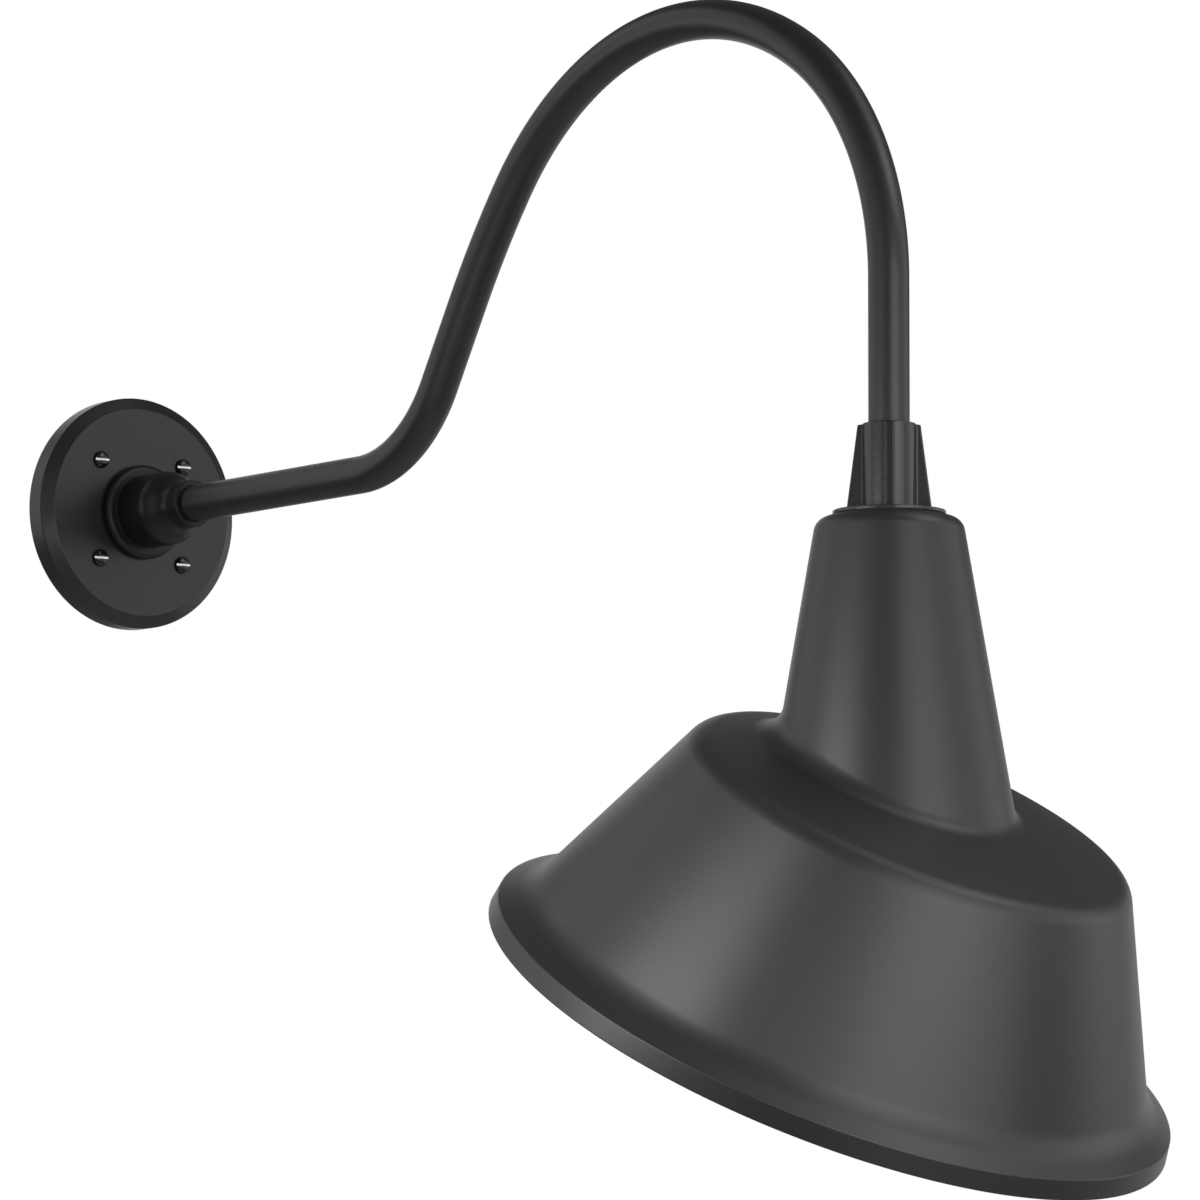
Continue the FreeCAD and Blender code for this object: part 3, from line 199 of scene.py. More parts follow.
def carve(verts, faces, place, cutters):
    """points and faces (in millimetres, own frame) of a mesh with the cutters taken out of it"""
    me = bpy.data.meshes.new("blank")
    me.from_pydata([tuple(Vector(v) * MM) for v in verts], [], faces)
    bm = bmesh.new()
    bm.from_mesh(me)
    bmesh.ops.recalc_face_normals(bm, faces=bm.faces)
    bm.to_mesh(me)
    bm.free()
    ob = bpy.data.objects.new("blank", me)
    bpy.context.scene.collection.objects.link(ob)
    tools = [solid_tool(v, f, m) for v, f, m in cutters]
    for t in tools:
        mod = ob.modifiers.new("cut", "BOOLEAN")
        mod.operation = "DIFFERENCE"
        mod.solver = "EXACT"
        mod.object = t
    bpy.context.view_layer.update()
    cut = bpy.data.meshes.new_from_object(ob.evaluated_get(bpy.context.evaluated_depsgraph_get()))
    out_v = [tuple(v.co / MM) for v in cut.vertices]
    out_f = [tuple(p.vertices) for p in cut.polygons]
    for o in tools + [ob]:
        data = o.data
        bpy.data.objects.remove(o)
        bpy.data.meshes.remove(data)
    bpy.data.meshes.remove(cut)
    return out_v, out_f


# ------------------------------------------------------------------ materials
def new_material(name):
    m = bpy.data.materials.new(name)
    m.use_nodes = True
    t = m.node_tree
    return m, t, t.nodes["Principled BSDF"]


def node(t, kind, **inputs):
    n = t.nodes.new(kind)
    for k, v in inputs.items():
        n.inputs[k.replace("_", " ")].default_value = v
    return n


def noise(t, scale, detail=2.0, roughness=0.5, coord=None):
    n = node(t, "ShaderNodeTexNoise", Scale=scale, Detail=detail, Roughness=roughness)
    t.links.new(coord, n.inputs["Vector"])
    return n.outputs["Fac"]


def span(t, value, a, b, lo=0.0, hi=1.0):
    """value from the range lo..hi mapped to a..b"""
    n = t.nodes.new("ShaderNodeMapRange")
    n.inputs["From Min"].default_value, n.inputs["From Max"].default_value = lo, hi
    n.inputs["To Min"].default_value, n.inputs["To Max"].default_value = a, b
    t.links.new(value, n.inputs["Value"])
    return n.outputs["Result"]


def combine(t, how, a, b):
    n = t.nodes.new("ShaderNodeMath")
    n.operation = how
    for i, v in enumerate((a, b)):
        if isinstance(v, (int, float)):
            n.inputs[i].default_value = v
        else:
            t.links.new(v, n.inputs[i])
    return n.outputs[0]


def blend_colour(t, fac, a, b):
    n = t.nodes.new("ShaderNodeMix")
    n.data_type = "RGBA"
    for socket, v in (("A", a), ("B", b)):
        s = [i for i in n.inputs if i.name == socket and i.type == "RGBA"][0]
        if isinstance(v, tuple):
            s.default_value = v + (1.0,)
        else:
            t.links.new(v, s)
    s = [i for i in n.inputs if i.name == "Factor" and i.type == "VALUE"][0]
    if isinstance(fac, (int, float)):
        s.default_value = fac
    else:
        t.links.new(fac, s)
    return [o for o in n.outputs if o.type == "RGBA"][0]


def own_coords(t):
    return t.nodes.new("ShaderNodeTexCoord").outputs["Object"]


def bump_from(t, height, distance, strength=1.0, under=None):
    n = t.nodes.new("ShaderNodeBump")
    n.inputs["Strength"].default_value = strength
    n.inputs["Distance"].default_value = distance
    t.links.new(height, n.inputs["Height"])
    if under:
        t.links.new(under, n.inputs["Normal"])
    return n.outputs["Normal"]


def edge_mask(t, radius):
    """1 on sharp outer edges, 0 on faces"""
    b = t.nodes.new("ShaderNodeBevel")
    b.samples = 4
    b.inputs["Radius"].default_value = radius
    g = t.nodes.new("ShaderNodeNewGeometry")
    d = t.nodes.new("ShaderNodeVectorMath")
    d.operation = "DOT_PRODUCT"
    t.links.new(b.outputs["Normal"], d.inputs[0])
    t.links.new(g.outputs["Normal"], d.inputs[1])
    return span(t, d.outputs["Value"], 1.0, 0.0, 0.86, 0.995)


def powder_coat(name, dark, light, rough, peel=0.00003, peel_scale=420.0, grain=0.5, edge=0.25, edge_radius=0.0008, spec=0.5, rub_and_highlight=1.9):
    """satin powder coat: fine orange peel, faint mottling, edges a little glossier where rubbed and painted lighter,
    partly wear and partly a painted highlight
    """
    m, t, p = new_material(name)
    c = own_coords(t)
    cloud = noise(t, 9.0, 3.0, 0.55, c)
    speck = noise(t, 1500.0, 2.0, 0.7, c)
    orange = noise(t, peel_scale, 2.0, 0.5, c)
    wear_and_highlight_mask = combine(t, "MULTIPLY", edge_mask(t, edge_radius), span(t, noise(t, 60.0, 3.0, 0.6, c), 0.2, 1.0, 0.35, 0.65))
    tone = blend_colour(t, span(t, cloud, 0.0, 1.0, 0.3, 0.7), dark, light)
    tone = blend_colour(t, span(t, speck, 0.0, 0.35, 0.45, 0.75), tone, tuple(x * 1.35 for x in light))
    # edges painted lighter in colour: partly wear of the thin coat, partly a painted highlight
    tone = blend_colour(t, combine(t, "MULTIPLY", wear_and_highlight_mask, edge), tone, tuple(x * rub_and_highlight for x in light))
    t.links.new(tone, p.inputs["Base Color"])
    r = combine(t, "ADD", span(t, cloud, rough - 0.02, rough + 0.02, 0.3, 0.7), span(t, speck, -0.02, 0.03, 0.3, 0.7))
    r = combine(t, "SUBTRACT", r, combine(t, "MULTIPLY", wear_and_highlight_mask, 0.06))
    t.links.new(r, p.inputs["Roughness"])
    p.inputs["Specular IOR Level"].default_value = spec
    n1 = bump_from(t, orange, peel, 1.0)
    n2 = bump_from(t, speck, peel * 0.22 * grain, 1.0, n1)
    t.links.new(n2, p.inputs["Normal"])
    return m


def plain_finish(name, colour, other, rough, metallic=0.0, scale=80.0, fine=900.0, bump=0.00001, spec=0.5, spread=0.05, coat=0.0):
    """general finish: two close tones, roughness that varies and a fine surface grain"""
    m, t, p = new_material(name)
    c = own_coords(t)
    cloud = noise(t, scale, 4.0, 0.6, c)
    grain = noise(t, fine, 3.0, 0.6, c)
    t.links.new(blend_colour(t, span(t, cloud, 0.0, 1.0, 0.3, 0.7), colour, other), p.inputs["Base Color"])
    t.links.new(combine(t, "ADD", span(t, cloud, rough - spread, rough + spread, 0.3, 0.7), span(t, grain, -0.03, 0.03, 0.3, 0.7)), p.inputs["Roughness"])
    p.inputs["Metallic"].default_value = metallic
    p.inputs["Specular IOR Level"].default_value = spec
    p.inputs["Coat Weight"].default_value = coat
    t.links.new(bump_from(t, combine(t, "ADD", cloud, grain), bump, 1.0), p.inputs["Normal"])
    return m


def turned_metal(name, colour, other, rough, axis_scale=(1.0, 1.0, 1.0), bump=0.000008):
    """metal with fine lines left by turning, drawing or plating"""
    m, t, p = new_material(name)
    c = own_coords(t)
    mp = t.nodes.new("ShaderNodeMapping")
    mp.inputs["Scale"].default_value = axis_scale
    t.links.new(c, mp.inputs["Vector"])
    lines = noise(t, 400.0, 3.0, 0.6, mp.outputs["Vector"])
    cloud = noise(t, 60.0, 3.0, 0.6, c)
    t.links.new(blend_colour(t, span(t, cloud, 0.0, 1.0, 0.3, 0.7), colour, other), p.inputs["Base Color"])
    t.links.new(combine(t, "ADD", span(t, cloud, rough - 0.06, rough + 0.06, 0.3, 0.7), span(t, lines, -0.05, 0.05, 0.3, 0.7)), p.inputs["Roughness"])
    p.inputs["Metallic"].default_value = 1.0
    t.links.new(bump_from(t, lines, bump, 1.0), p.inputs["Normal"])
    return m


COAT_PLATE = powder_coat("coat_plate", (0.0115, 0.0115, 0.012), (0.0135, 0.0135, 0.014), 0.30)
# hub and lock ring: the same black coat painted darker, with weaker reflection, a painted shade
COAT_HUB_SHADED = powder_coat("coat_hub_painted_shade", (0.0075, 0.0075, 0.008), (0.0095, 0.0095, 0.010), 0.36, spec=0.3)
COAT_PIPE = powder_coat("coat_pipe", (0.0115, 0.0115, 0.012), (0.0135, 0.0135, 0.014), 0.37)
COAT_SHADE = powder_coat("coat_shade", (0.0115, 0.0115, 0.012), (0.0135, 0.0135, 0.014), 0.40)
# the collar's rib edges are painted much lighter, a painted highlight along the ribs
COAT_COLLAR = powder_coat("coat_collar", (0.0115, 0.0115, 0.012), (0.0135, 0.0135, 0.014), 0.25, peel=0.00002, edge=0.6, rub_and_highlight=3.0)
ENAMEL = powder_coat("white_enamel", (0.80, 0.80, 0.79), (0.84, 0.84, 0.83), 0.38, edge=0.0, spec=0.5)
GLOSS = plain_finish("gloss_black", (0.006, 0.006, 0.006), (0.009, 0.009, 0.009), 0.15, scale=300.0, bump=0.0000015, spread=0.02)
BARE = turned_metal("bare_slot", (0.70, 0.70, 0.69), (0.82, 0.82, 0.80), 0.22, axis_scale=(1.0, 0.1, 1.0), bump=0.000004)
ZINC = turned_metal("zinc_plate", (0.62, 0.63, 0.64), (0.70, 0.70, 0.68), 0.36)
BRASS = turned_metal("brass_strip", (0.70, 0.50, 0.22), (0.78, 0.58, 0.28), 0.28)
NICKEL = turned_metal("nickel_plate", (0.70, 0.68, 0.64), (0.78, 0.76, 0.72), 0.24)
GREEN_METAL = plain_finish("green_passivated", (0.03, 0.20, 0.07), (0.05, 0.28, 0.10), 0.35, metallic=0.6, scale=400.0)
PORCELAIN = plain_finish("porcelain_glaze", (0.80, 0.78, 0.72), (0.86, 0.84, 0.79), 0.18, scale=120.0, fine=600.0, bump=0.00002, coat=0.3)
OPAL = plain_finish("opal_glass", (0.88, 0.88, 0.85), (0.93, 0.93, 0.90), 0.22, scale=40.0, fine=700.0, bump=0.000006)
OPAL.node_tree.nodes["Principled BSDF"].inputs["Subsurface Weight"].default_value = 0.25
OPAL.node_tree.nodes["Principled BSDF"].inputs["Subsurface Radius"].default_value = (0.004, 0.004, 0.004)
GLASS_BLACK = plain_finish("black_vitrite", (0.012, 0.012, 0.014), (0.02, 0.02, 0.022), 0.12, scale=200.0)
FOAM = plain_finish("foam_gasket", (0.020, 0.020, 0.020), (0.035, 0.035, 0.035), 0.92, scale=900.0, fine=2500.0, bump=0.0003, spec=0.2)
RUBBER = plain_finish("rubber_gasket", (0.018, 0.018, 0.018), (0.026, 0.026, 0.026), 0.75, scale=500.0, fine=1800.0, bump=0.00004, spec=0.3)
WHITE_PLASTIC = plain_finish("white_plastic", (0.74, 0.74, 0.70), (0.80, 0.80, 0.77), 0.5, scale=150.0, fine=1200.0, bump=0.00002)
WIRE_BLACK = plain_finish("wire_black", (0.018, 0.018, 0.018), (0.028, 0.028, 0.028), 0.42, scale=200.0, fine=1500.0, bump=0.00002)
WIRE_WHITE = plain_finish("wire_white", (0.74, 0.74, 0.72), (0.80, 0.80, 0.78), 0.42, scale=200.0, fine=1500.0, bump=0.00002)
WIRE_GREEN = plain_finish("wire_green", (0.02, 0.18, 0.05), (0.03, 0.24, 0.07), 0.42, scale=200.0, fine=1500.0, bump=0.00002)


# ------------------------------------------------------------------ wall plate
profile = [(57.0, 0.0, 0.3), (60.2, 0.0, 0.2), (60.2, 2.0, 0.1), (65.2, 2.0, 0.1), (65.2, 0.0, 0.2), (68.6, 0.0, 0.5),
           (68.6, 12.1, 1.2), (61.5, 16.5, 0.9), (14.7, 16.5, 0.3), (14.7, 11.5, 0.2), (57.0, 11.5, 1.5)]
v, f = turned(split_long(rounded(profile), 9.0, True), 240)
holes = [rod(2.75, 8.0, 20.0) + (TO_X @ Matrix.Translation((sy * 29.2, sz * 29.2, 0)),) for sy in (1, -1) for sz in (1, -1)]
v = [tuple(TO_X @ Vector(p)) for p in v]
v, f = carve(v, f, ROW, holes)
piece("wall_plate_coated", v, f, ROW, COAT_PLATE, "arm_assembly", ["wall_plate"], angle=50)

# ------------------------------------------------------------------ hub and lock ring
profile = [(8.5, 5.0, 0.2), (14.5, 5.0, 0.6), (14.5, 16.5, 0.2), (24.9, 16.5)]
profile += [(24.9 + 3.0 * math.cos(math.radians(a)), 19.5 + 3.0 * math.sin(math.radians(a))) for a in range(-80, 81, 8)]
profile += [(24.9, 22.5), (21.7, 22.5, 0.35), (21.7, 44.0)]
OGEE = 11.6515
for (ax, ar), (bx, br), side in (((44.0, 21.7), (53.0, 17.45), 1), ((53.0, 17.45), (62.0, 13.2), -1)):
    d = math.hypot(bx - ax, br - ar)
    h = math.sqrt(max(OGEE ** 2 - d * d / 4, 0))
    nx, nr = -(br - ar) / d, (bx - ax) / d
    cx, cr = (ax + bx) / 2 - side * h * nx, (ar + br) / 2 - side * h * nr
    a0, a1 = math.atan2(ar - cr, ax - cx), math.atan2(br - cr, bx - cx)
    steps = 12
    profile += [(cr + OGEE * math.sin(a0 + (a1 - a0) * k / steps), cx + OGEE * math.cos(a0 + (a1 - a0) * k / steps)) for k in range(1, steps + 1)]
profile += [(13.2, 63.6, 0.35), (10.70, 63.6, 0.2), (10.70, 22.0), (8.5, 22.0)]
v, f = turned(split_long(rounded(profile), 6.0, True), 160)
piece("arm_hub_coated", v, f, TO_X, COAT_HUB_SHADED, "arm_assembly", ["arm_hub"], angle=50)

profile = [(10.70, 64.4, 0.2), (13.9, 64.4, 1.0), (13.9, 72.0, 1.0), (10.70, 72.0, 0.2)]
v, f = turned(split_long(rounded(profile, fine=10.0), 2.0, True), 128)
piece("pipe_lock_ring_coated", v, f, TO_X, COAT_HUB_SHADED, "arm_assembly", ["pipe_lock_ring"], angle=60)

# ------------------------------------------------------------------ plate screws
verts, faces = [], []
for sy in (1, -1):
    for sz in (1, -1):
        prof = [(0.0, 0.8), (1.8, 0.8), (2.4, 1.4), (2.4, 16.45), (2.45, 16.5), (5.0, 16.5), (5.1, 16.6), (5.1, 17.05)]
        prof += [(5.1 * math.cos(math.radians(a)) ** 0.62, 17.05 + 2.65 * math.sin(math.radians(a)) ** 1.05) for a in range(8, 90, 7)]
        prof += [(0.0, 19.7)]
        v, f = turned(prof, 64, closed=False)
        slot_box = block((-6.5, -0.65, 18.2), (6.5, 0.65, 22.0))
        v, f = carve(v, f, ROW, [slot_box + (ROW,)])
        base = len(verts)
        move = TO_X @ Matrix.Translation((sy * 29.2, sz * 29.2, 0))
        verts += [tuple(move @ Vector(p)) for p in v]
        faces += [tuple(base + i for i in q) for q in f]
screws = piece("plate_screws_coated", verts, faces, ROW, [GLOSS, BARE], "arm_assembly", ["plate_screws"], angle=30, weighted=False)
for poly in screws.data.polygons:                        # the driver has rubbed the slots' floors bare
    if abs(poly.center.x - 0.0182) < 0.00002 and abs(poly.normal.x) > 0.99:
        poly.material_index = 1
mod = screws.modifiers.new("slot edges", "BEVEL")
mod.width = 0.00014
mod.segments = 2
mod.limit_method = "ANGLE"
mod.angle_limit = math.radians(40)
mod.harden_normals = False


# ------------------------------------------------------------------ gooseneck
def arm_line():
    """centreline of the pipe: list of (x, z, direction angle)"""
    line = [(PIPE_START, 0.0, 0.0)]
    for k in range(1, 13):
        line.append((PIPE_START + (RUN_1 - PIPE_START) * k / 12, 0.0, 0.0))
    n = 34
    for k in range(1, n + 1):
        t = T1 * k / n
        line.append((RUN_1 + BEND_1 * math.sin(t), BEND_1 * (1 - math.cos(t)), t))
    for k in range(1, 5):
        line.append((X1 + (X2 - X1) * k / 4, Z1 + (Z2 - Z1) * k / 4, T1))
    for (x, z, t0, t1, r, n) in ((X2, Z2, T1, T2, BEND_2, 8), (X3, Z3, T2, T3, BEND_3, 60), (X4, Z4, T3, -math.pi / 2, BEND_4, 42)):
        for k in range(1, n + 1):
            t = t0 + (t1 - t0) * k / n
            line.append((x + r * (math.sin(t0) - math.sin(t)), z + r * (math.cos(t) - math.cos(t0)), t))
    x, z, t = line[-1]
    for k in range(1, 9):
        line.append((NECK_X, z + (NECK_Z - PIPE_BELOW - z) * k / 8, t))
    return line


line = arm_line()
COLS = 112
verts = []
rows = 0
def ring(x, z, t, r):
    nx, nz = -math.sin(t), math.cos(t)
    return [(x + r * math.sin(2 * math.pi * j / COLS) * nx, r * math.cos(2 * math.pi * j / COLS), z + r * math.sin(2 * math.pi * j / COLS) * nz) for j in range(COLS)]
for i, (x, z, t) in enumerate(line):
    if i == 0:
        verts += ring(x, z, t, PIPE_R - 0.4)
        verts += ring(x + 0.4, z, t, PIPE_R)
        rows += 2
    elif i == len(line) - 1:
        verts += ring(x, z + 0.4, t, PIPE_R)
        verts += ring(x, z, t, PIPE_R - 0.4)
        rows += 2
    else:
        verts += ring(x, z, t, PIPE_R)
        rows += 1
for x, z, t in reversed(line):
    verts += ring(x, z, t, PIPE_BORE)
    rows += 1
piece("arm_pipe_coated", verts, tube_faces(rows, COLS, True), ROW, COAT_PIPE, "arm_assembly", ["arm_pipe"], angle=40, weighted=False)


# ------------------------------------------------------------------ ribbed collar
def rib_outline(radius, tip, half, root, edge):
    """one section of the collar: a round of that radius with four ribs, 45 degrees off the head's axes"""
    quarter = []
    cx = math.sqrt((radius + root) ** 2 - (half + root) ** 2)
    gamma = math.atan2(half + root, cx)
    for k in range(10):                                   # round part, from midway between ribs
        a = math.pi / 4 - (math.pi / 4 - gamma) * k / 10
        quarter.append((radius * math.cos(a), radius * math.sin(a)))
    a0 = math.pi + gamma
    for k in range(6):                                    # root
        a = a0 + (1.5 * math.pi - a0) * k / 6
        quarter.append((cx + root * math.cos(a), half + root + root * math.sin(a)))
    end = tip - edge
    for k in range(5):                                    # side
        quarter.append((cx + (end - cx) * k / 5, half))
    for k in range(6):                                    # edge of the tip
        a = math.pi / 2 - math.pi / 2 * k / 6
        quarter.append((end + edge * math.cos(a), half - edge + edge * math.sin(a)))
    quarter.append((tip, (half - edge)))
    quarter.append((tip, (half - edge) * 0.5))
    mirrored = [(x, -y) for x, y in reversed(quarter[1:])]
    one = quarter + [(tip, 0.0)] + mirrored
    out = []
    for q in range(4):
        c, s = math.cos(math.pi / 4 + q * math.pi / 2), math.sin(math.pi / 4 + q * math.pi / 2)
        # run backwards so that each quarter goes on where the last one ended
        out += [(x * c - y * s, x * s + y * c) for x, y in reversed(one)]
    return out


def on_circle(outline, radius):
    return [(radius * x / math.hypot(x, y), radius * y / math.hypot(x, y)) for x, y in outline]


def rib_tip(z):
    return 16.2 + (22.0 - 16.2) * (-0.6 - z) / 44.7


ROOT, EDGE = 1.2, 0.7
full = rib_outline(13.85, rib_tip(-1.2), 2.0, ROOT, EDGE)
rows = []
def add_row(points, z):
    rows.append([(x, y, z) for x, y in points])
add_row(on_circle(full, 10.72), -0.3)
add_row(on_circle(full, 10.92), -0.05)
add_row(on_circle(full, 11.1), 0.0)
add_row(on_circle(full, 13.3), 0.0)
add_row(on_circle(full, 13.62), -0.06)
add_row(on_circle(full, 13.79), -0.2)
add_row(on_circle(full, 13.85), -0.4)
add_row(rib_outline(13.85, rib_tip(-0.6) - 0.75, 1.45, ROOT, EDGE), -0.6)
add_row(rib_outline(13.85, rib_tip(-0.6) - 0.4, 1.65, ROOT, EDGE), -0.64)
add_row(rib_outline(13.85, rib_tip(-0.6) - 0.12, 1.9, ROOT, EDGE), -0.84)
for z in (-1.2, -6, -12, -18, -24, -30, -36, -41, -44.1):
    add_row(rib_outline(13.85, rib_tip(z), 2.0, ROOT, EDGE), z)
for a in (15, 30, 45, 60, 75, 90):
    s = 1 - math.cos(math.radians(a))
    z = -44.1 - math.sin(math.radians(a))
    add_row(rib_outline(13.85 + s, rib_tip(z) + s, 2.0 + s, max(ROOT - 0.6 * s, 0.25), EDGE + 0.3 * s), z)
last = rows[-1]
rim = on_circle(full, 28.8)
for k in (0.35, 0.7):
    rows.append([(p[0] + (q[0] - p[0]) * k, p[1] + (q[1] - p[1]) * k, -45.1) for p, q in zip(last, rim)])
add_row(rim, -45.1)
for a in (30, 60, 90):
    add_row(on_circle(full, 28.8 + 0.4 * math.sin(math.radians(a))), -45.1 - 0.4 * (1 - math.cos(math.radians(a))))
for a in (0, 30, 60, 90):
    add_row(on_circle(full, 28.8 + 0.4 * math.cos(math.radians(a))), -46.7 - 0.4 * math.sin(math.radians(a)))
for r, z in ((20, -47.1), (15.0, -47.1), (15.0, -54), (15.0, -60.7), (14.7, -61.0), (8.4, -61.0), (8.2, -60.8), (8.2, -50), (8.2, -40.5), (8.4, -40.3), (10.72, -40.3), (10.72, -30), (10.72, -15)):
    add_row(on_circle(full, r), z)
cols = len(full)
verts = [p for row in rows for p in row]
v, f = verts, tube_faces(len(rows), cols, True)
holes = [rod(2.52, 0, 20) + (Matrix.Translation((0, 0, -14)) @ Matrix.Rotation(-math.pi / 2, 4, "X"),),
         rod(2.52, 0, 20) + (Matrix.Translation((0, 0, -14)) @ Matrix.Rotation(-math.pi / 2, 4, "Y"),)]
v, f = carve(v, f, ROW, holes)
piece("ribbed_collar_coated", v, f, HEAD, COAT_COLLAR, "head", ["ribbed_collar"], angle=55)


# ------------------------------------------------------------------ shade
AX, AZ = 17.18, -199.11
E1 = Vector((math.cos(TILT), 0, -math.sin(TILT)))
E2 = Vector((0, 1, 0))
K = Vector((math.sin(TILT), 0, math.cos(TILT)))
O = Vector((AX, 0, AZ))
CROWN, CROWN_IN = 605.32, 603.72                     # the shoulder is a slight crown, a part of a large sphere
CROWN_MID = 11.7934 - CROWN
M = O + K * CROWN_MID
ROUND_RHO, ROUND_H, WALL_SLOPE = 107.6688, -12.6, math.radians(64.797)
COLS = 320


def neck_point(r, z, a):
    return Vector((r * math.cos(a), r * math.sin(a), z))


def bell_point(rho, h, a):
    return O + E1 * (rho * math.cos(a)) + E2 * (rho * math.sin(a)) + K * h


def blend_rows(r0, z0, slope, sphere, radius, steps):
    """rows of the round between the neck's cone and the crown, cone side first"""
    qn = math.sqrt(1 + slope * slope)
    out = [[] for _ in range(steps + 1)]
    for j in range(COLS):
        a = 2 * math.pi * j / COLS
        const = r0 + slope * z0 + radius * qn
        low, high = -235.0, -60.0
        for _ in range(48):                             # level at which a ball touches both
            z = (low + high) / 2
            c = neck_point(const - slope * z, z, a)
            if (c - M).length < sphere + radius:
                low = z
            else:
                high = z
        n = Vector((math.cos(a) / qn, math.sin(a) / qn, slope / qn))
        m = (c - M).normalized()
        w = math.acos(max(-1, min(1, n.dot(m))))
        for i in range(steps + 1):
            s = i / steps
            d = (n * math.sin((1 - s) * w) + m * math.sin(s * w)) / math.sin(w)
            out[i].append(c - d * radius)
    return out


def mix_rows(a, b, shares):
    return [[p + (q - p) * s for p, q in zip(a, b)] for s in shares]


def on_crown(rows, sphere):
    return [[M + (p - M).normalized() * sphere for p in row] for row in rows]


def crown(rho, sphere):
    return (rho, CROWN_MID + math.sqrt(sphere * sphere - rho * rho))


def shoulder_arc(radius, first):
    """the shoulder's round, from the crown to the wall"""
    steps = 13
    return [(ROUND_RHO + radius * math.sin(first + (WALL_SLOPE - first) * k / steps),
             ROUND_H + radius * math.cos(first + (WALL_SLOPE - first) * k / steps)) for k in range(steps + 1)]


def meet(p, q, r, s):
    """point where line pq meets line rs"""
    d1, d2 = (q[0] - p[0], q[1] - p[1]), (s[0] - r[0], s[1] - r[1])
    det = d1[0] * d2[1] - d1[1] * d2[0]
    t = ((r[0] - p[0]) * d2[1] - (r[1] - p[1]) * d2[0]) / det
    return (p[0] + d1[0] * t, p[1] + d1[1] * t)


slope = (70.530 - 37.596) / (240.0 - 48.1)
slope_in = (68.907 - 37.2309) / (240.0 - 55.4329)
rows = []
outside = []           # left empty and not used; meant to hold True for rows that end in black coat
# top of the neck and its round, then the cone down to the blend
top = rounded([(15.6, -48.1), (37.596, -48.1, 8.5), (37.596 + slope * 60, -108.1)], closed=False, fine=5.0)[:-1]
for r, z in [(15.6, -48.1), (20.0, -48.1), (25.0, -48.1)] + top[1:]:
    rows.append([neck_point(r, z, 2 * math.pi * j / COLS) for j in range(COLS)])
outer_blend = blend_rows(37.596, -48.1, slope, CROWN, 13.0, 20)
rows += mix_rows(rows[-1], outer_blend[0], [k / 12 for k in range(1, 12)])
rows += outer_blend
# shoulder, wall, flare, lip and rim outside, then the same inside
bottom = -125.59
rim_in = 182.027 + (125.59 - 115.979) / (130.0 - 115.979) * (184.291 - 182.027)
corner_2 = meet((119.3408, -7.1069), (162.2783, -98.3425), (176.0156, -112.7774), (182.027, -115.979))
touch = math.radians(10.5)
outer_round, inner_round = shoulder_arc(14.5, touch), shoulder_arc(12.9, touch)
bell = [crown(r, CROWN) for r in (101.0, 104.0, 107.0)] + outer_round[:-1]
bell += rounded([outer_round[-1], (167.97, -106.68, 30.0), (183.48, -114.94, 1.2), (185.2, bottom, 0.7), (rim_in, bottom, 0.7),
                 (182.027, -115.979, 0.8), (corner_2[0], corner_2[1], 31.6), inner_round[-1]], closed=False, fine=5.0)
bell += list(reversed(inner_round[:-1])) + [crown(r, CROWN_IN) for r in (107.0, 104.0, 101.0)]
bell = split_long(bell, 8.0)
bell_rows = [[bell_point(r, h, 2 * math.pi * j / COLS) for j in range(COLS)] for r, h in bell]
rows += on_crown(mix_rows(rows[-1], bell_rows[0], [0.2, 0.4, 0.6, 0.8]), CROWN)
start_bell = len(rows)
rows += bell_rows
rim_row = start_bell + max(i for i, (r, h) in enumerate(bell) if abs(h - bottom) < 0.02)
inner_blend = blend_rows(37.2309, -55.4329, slope_in, CROWN_IN, 11.4, 12)
rows += on_crown(mix_rows(rows[-1], inner_blend[-1], [0.2, 0.4, 0.6, 0.8]), CROWN_IN)
rows += list(reversed(inner_blend))
inner_top = [(37.2309, -55.4329)]
c_mid = meet((30.4303, -49.7), (0, -49.7), (37.2309, -55.4329), (68.907, -240.0))
inner_top = rounded([(37.2309 + slope_in * 30, -85.4329), (c_mid[0], c_mid[1], 6.9), (20.0, -49.7)], closed=False, fine=6.0)[1:-1]
inner_top_rows = [[neck_point(r, z, 2 * math.pi * j / COLS) for j in range(COLS)] for r, z in inner_top + [(24.0, -49.7), (18.0, -49.7), (15.5, -49.7), (15.25, -49.45), (15.25, -48.4)]]
rows += mix_rows(rows[-1], inner_top_rows[0], [k / 12 for k in range(1, 12)])
rows += inner_top_rows
verts = [tuple(p) for row in rows for p in row]
faces = tube_faces(len(rows), COLS, True)
shade = piece("shade_spun", verts, faces, HEAD, [COAT_SHADE, ENAMEL], "head", ["shade_neck", "shade_reflector"])
first_white = rim_row + 1
for k, poly in enumerate(shade.data.polygons):
    if first_white <= k // COLS < len(rows) - 3:
        poly.material_index = 1

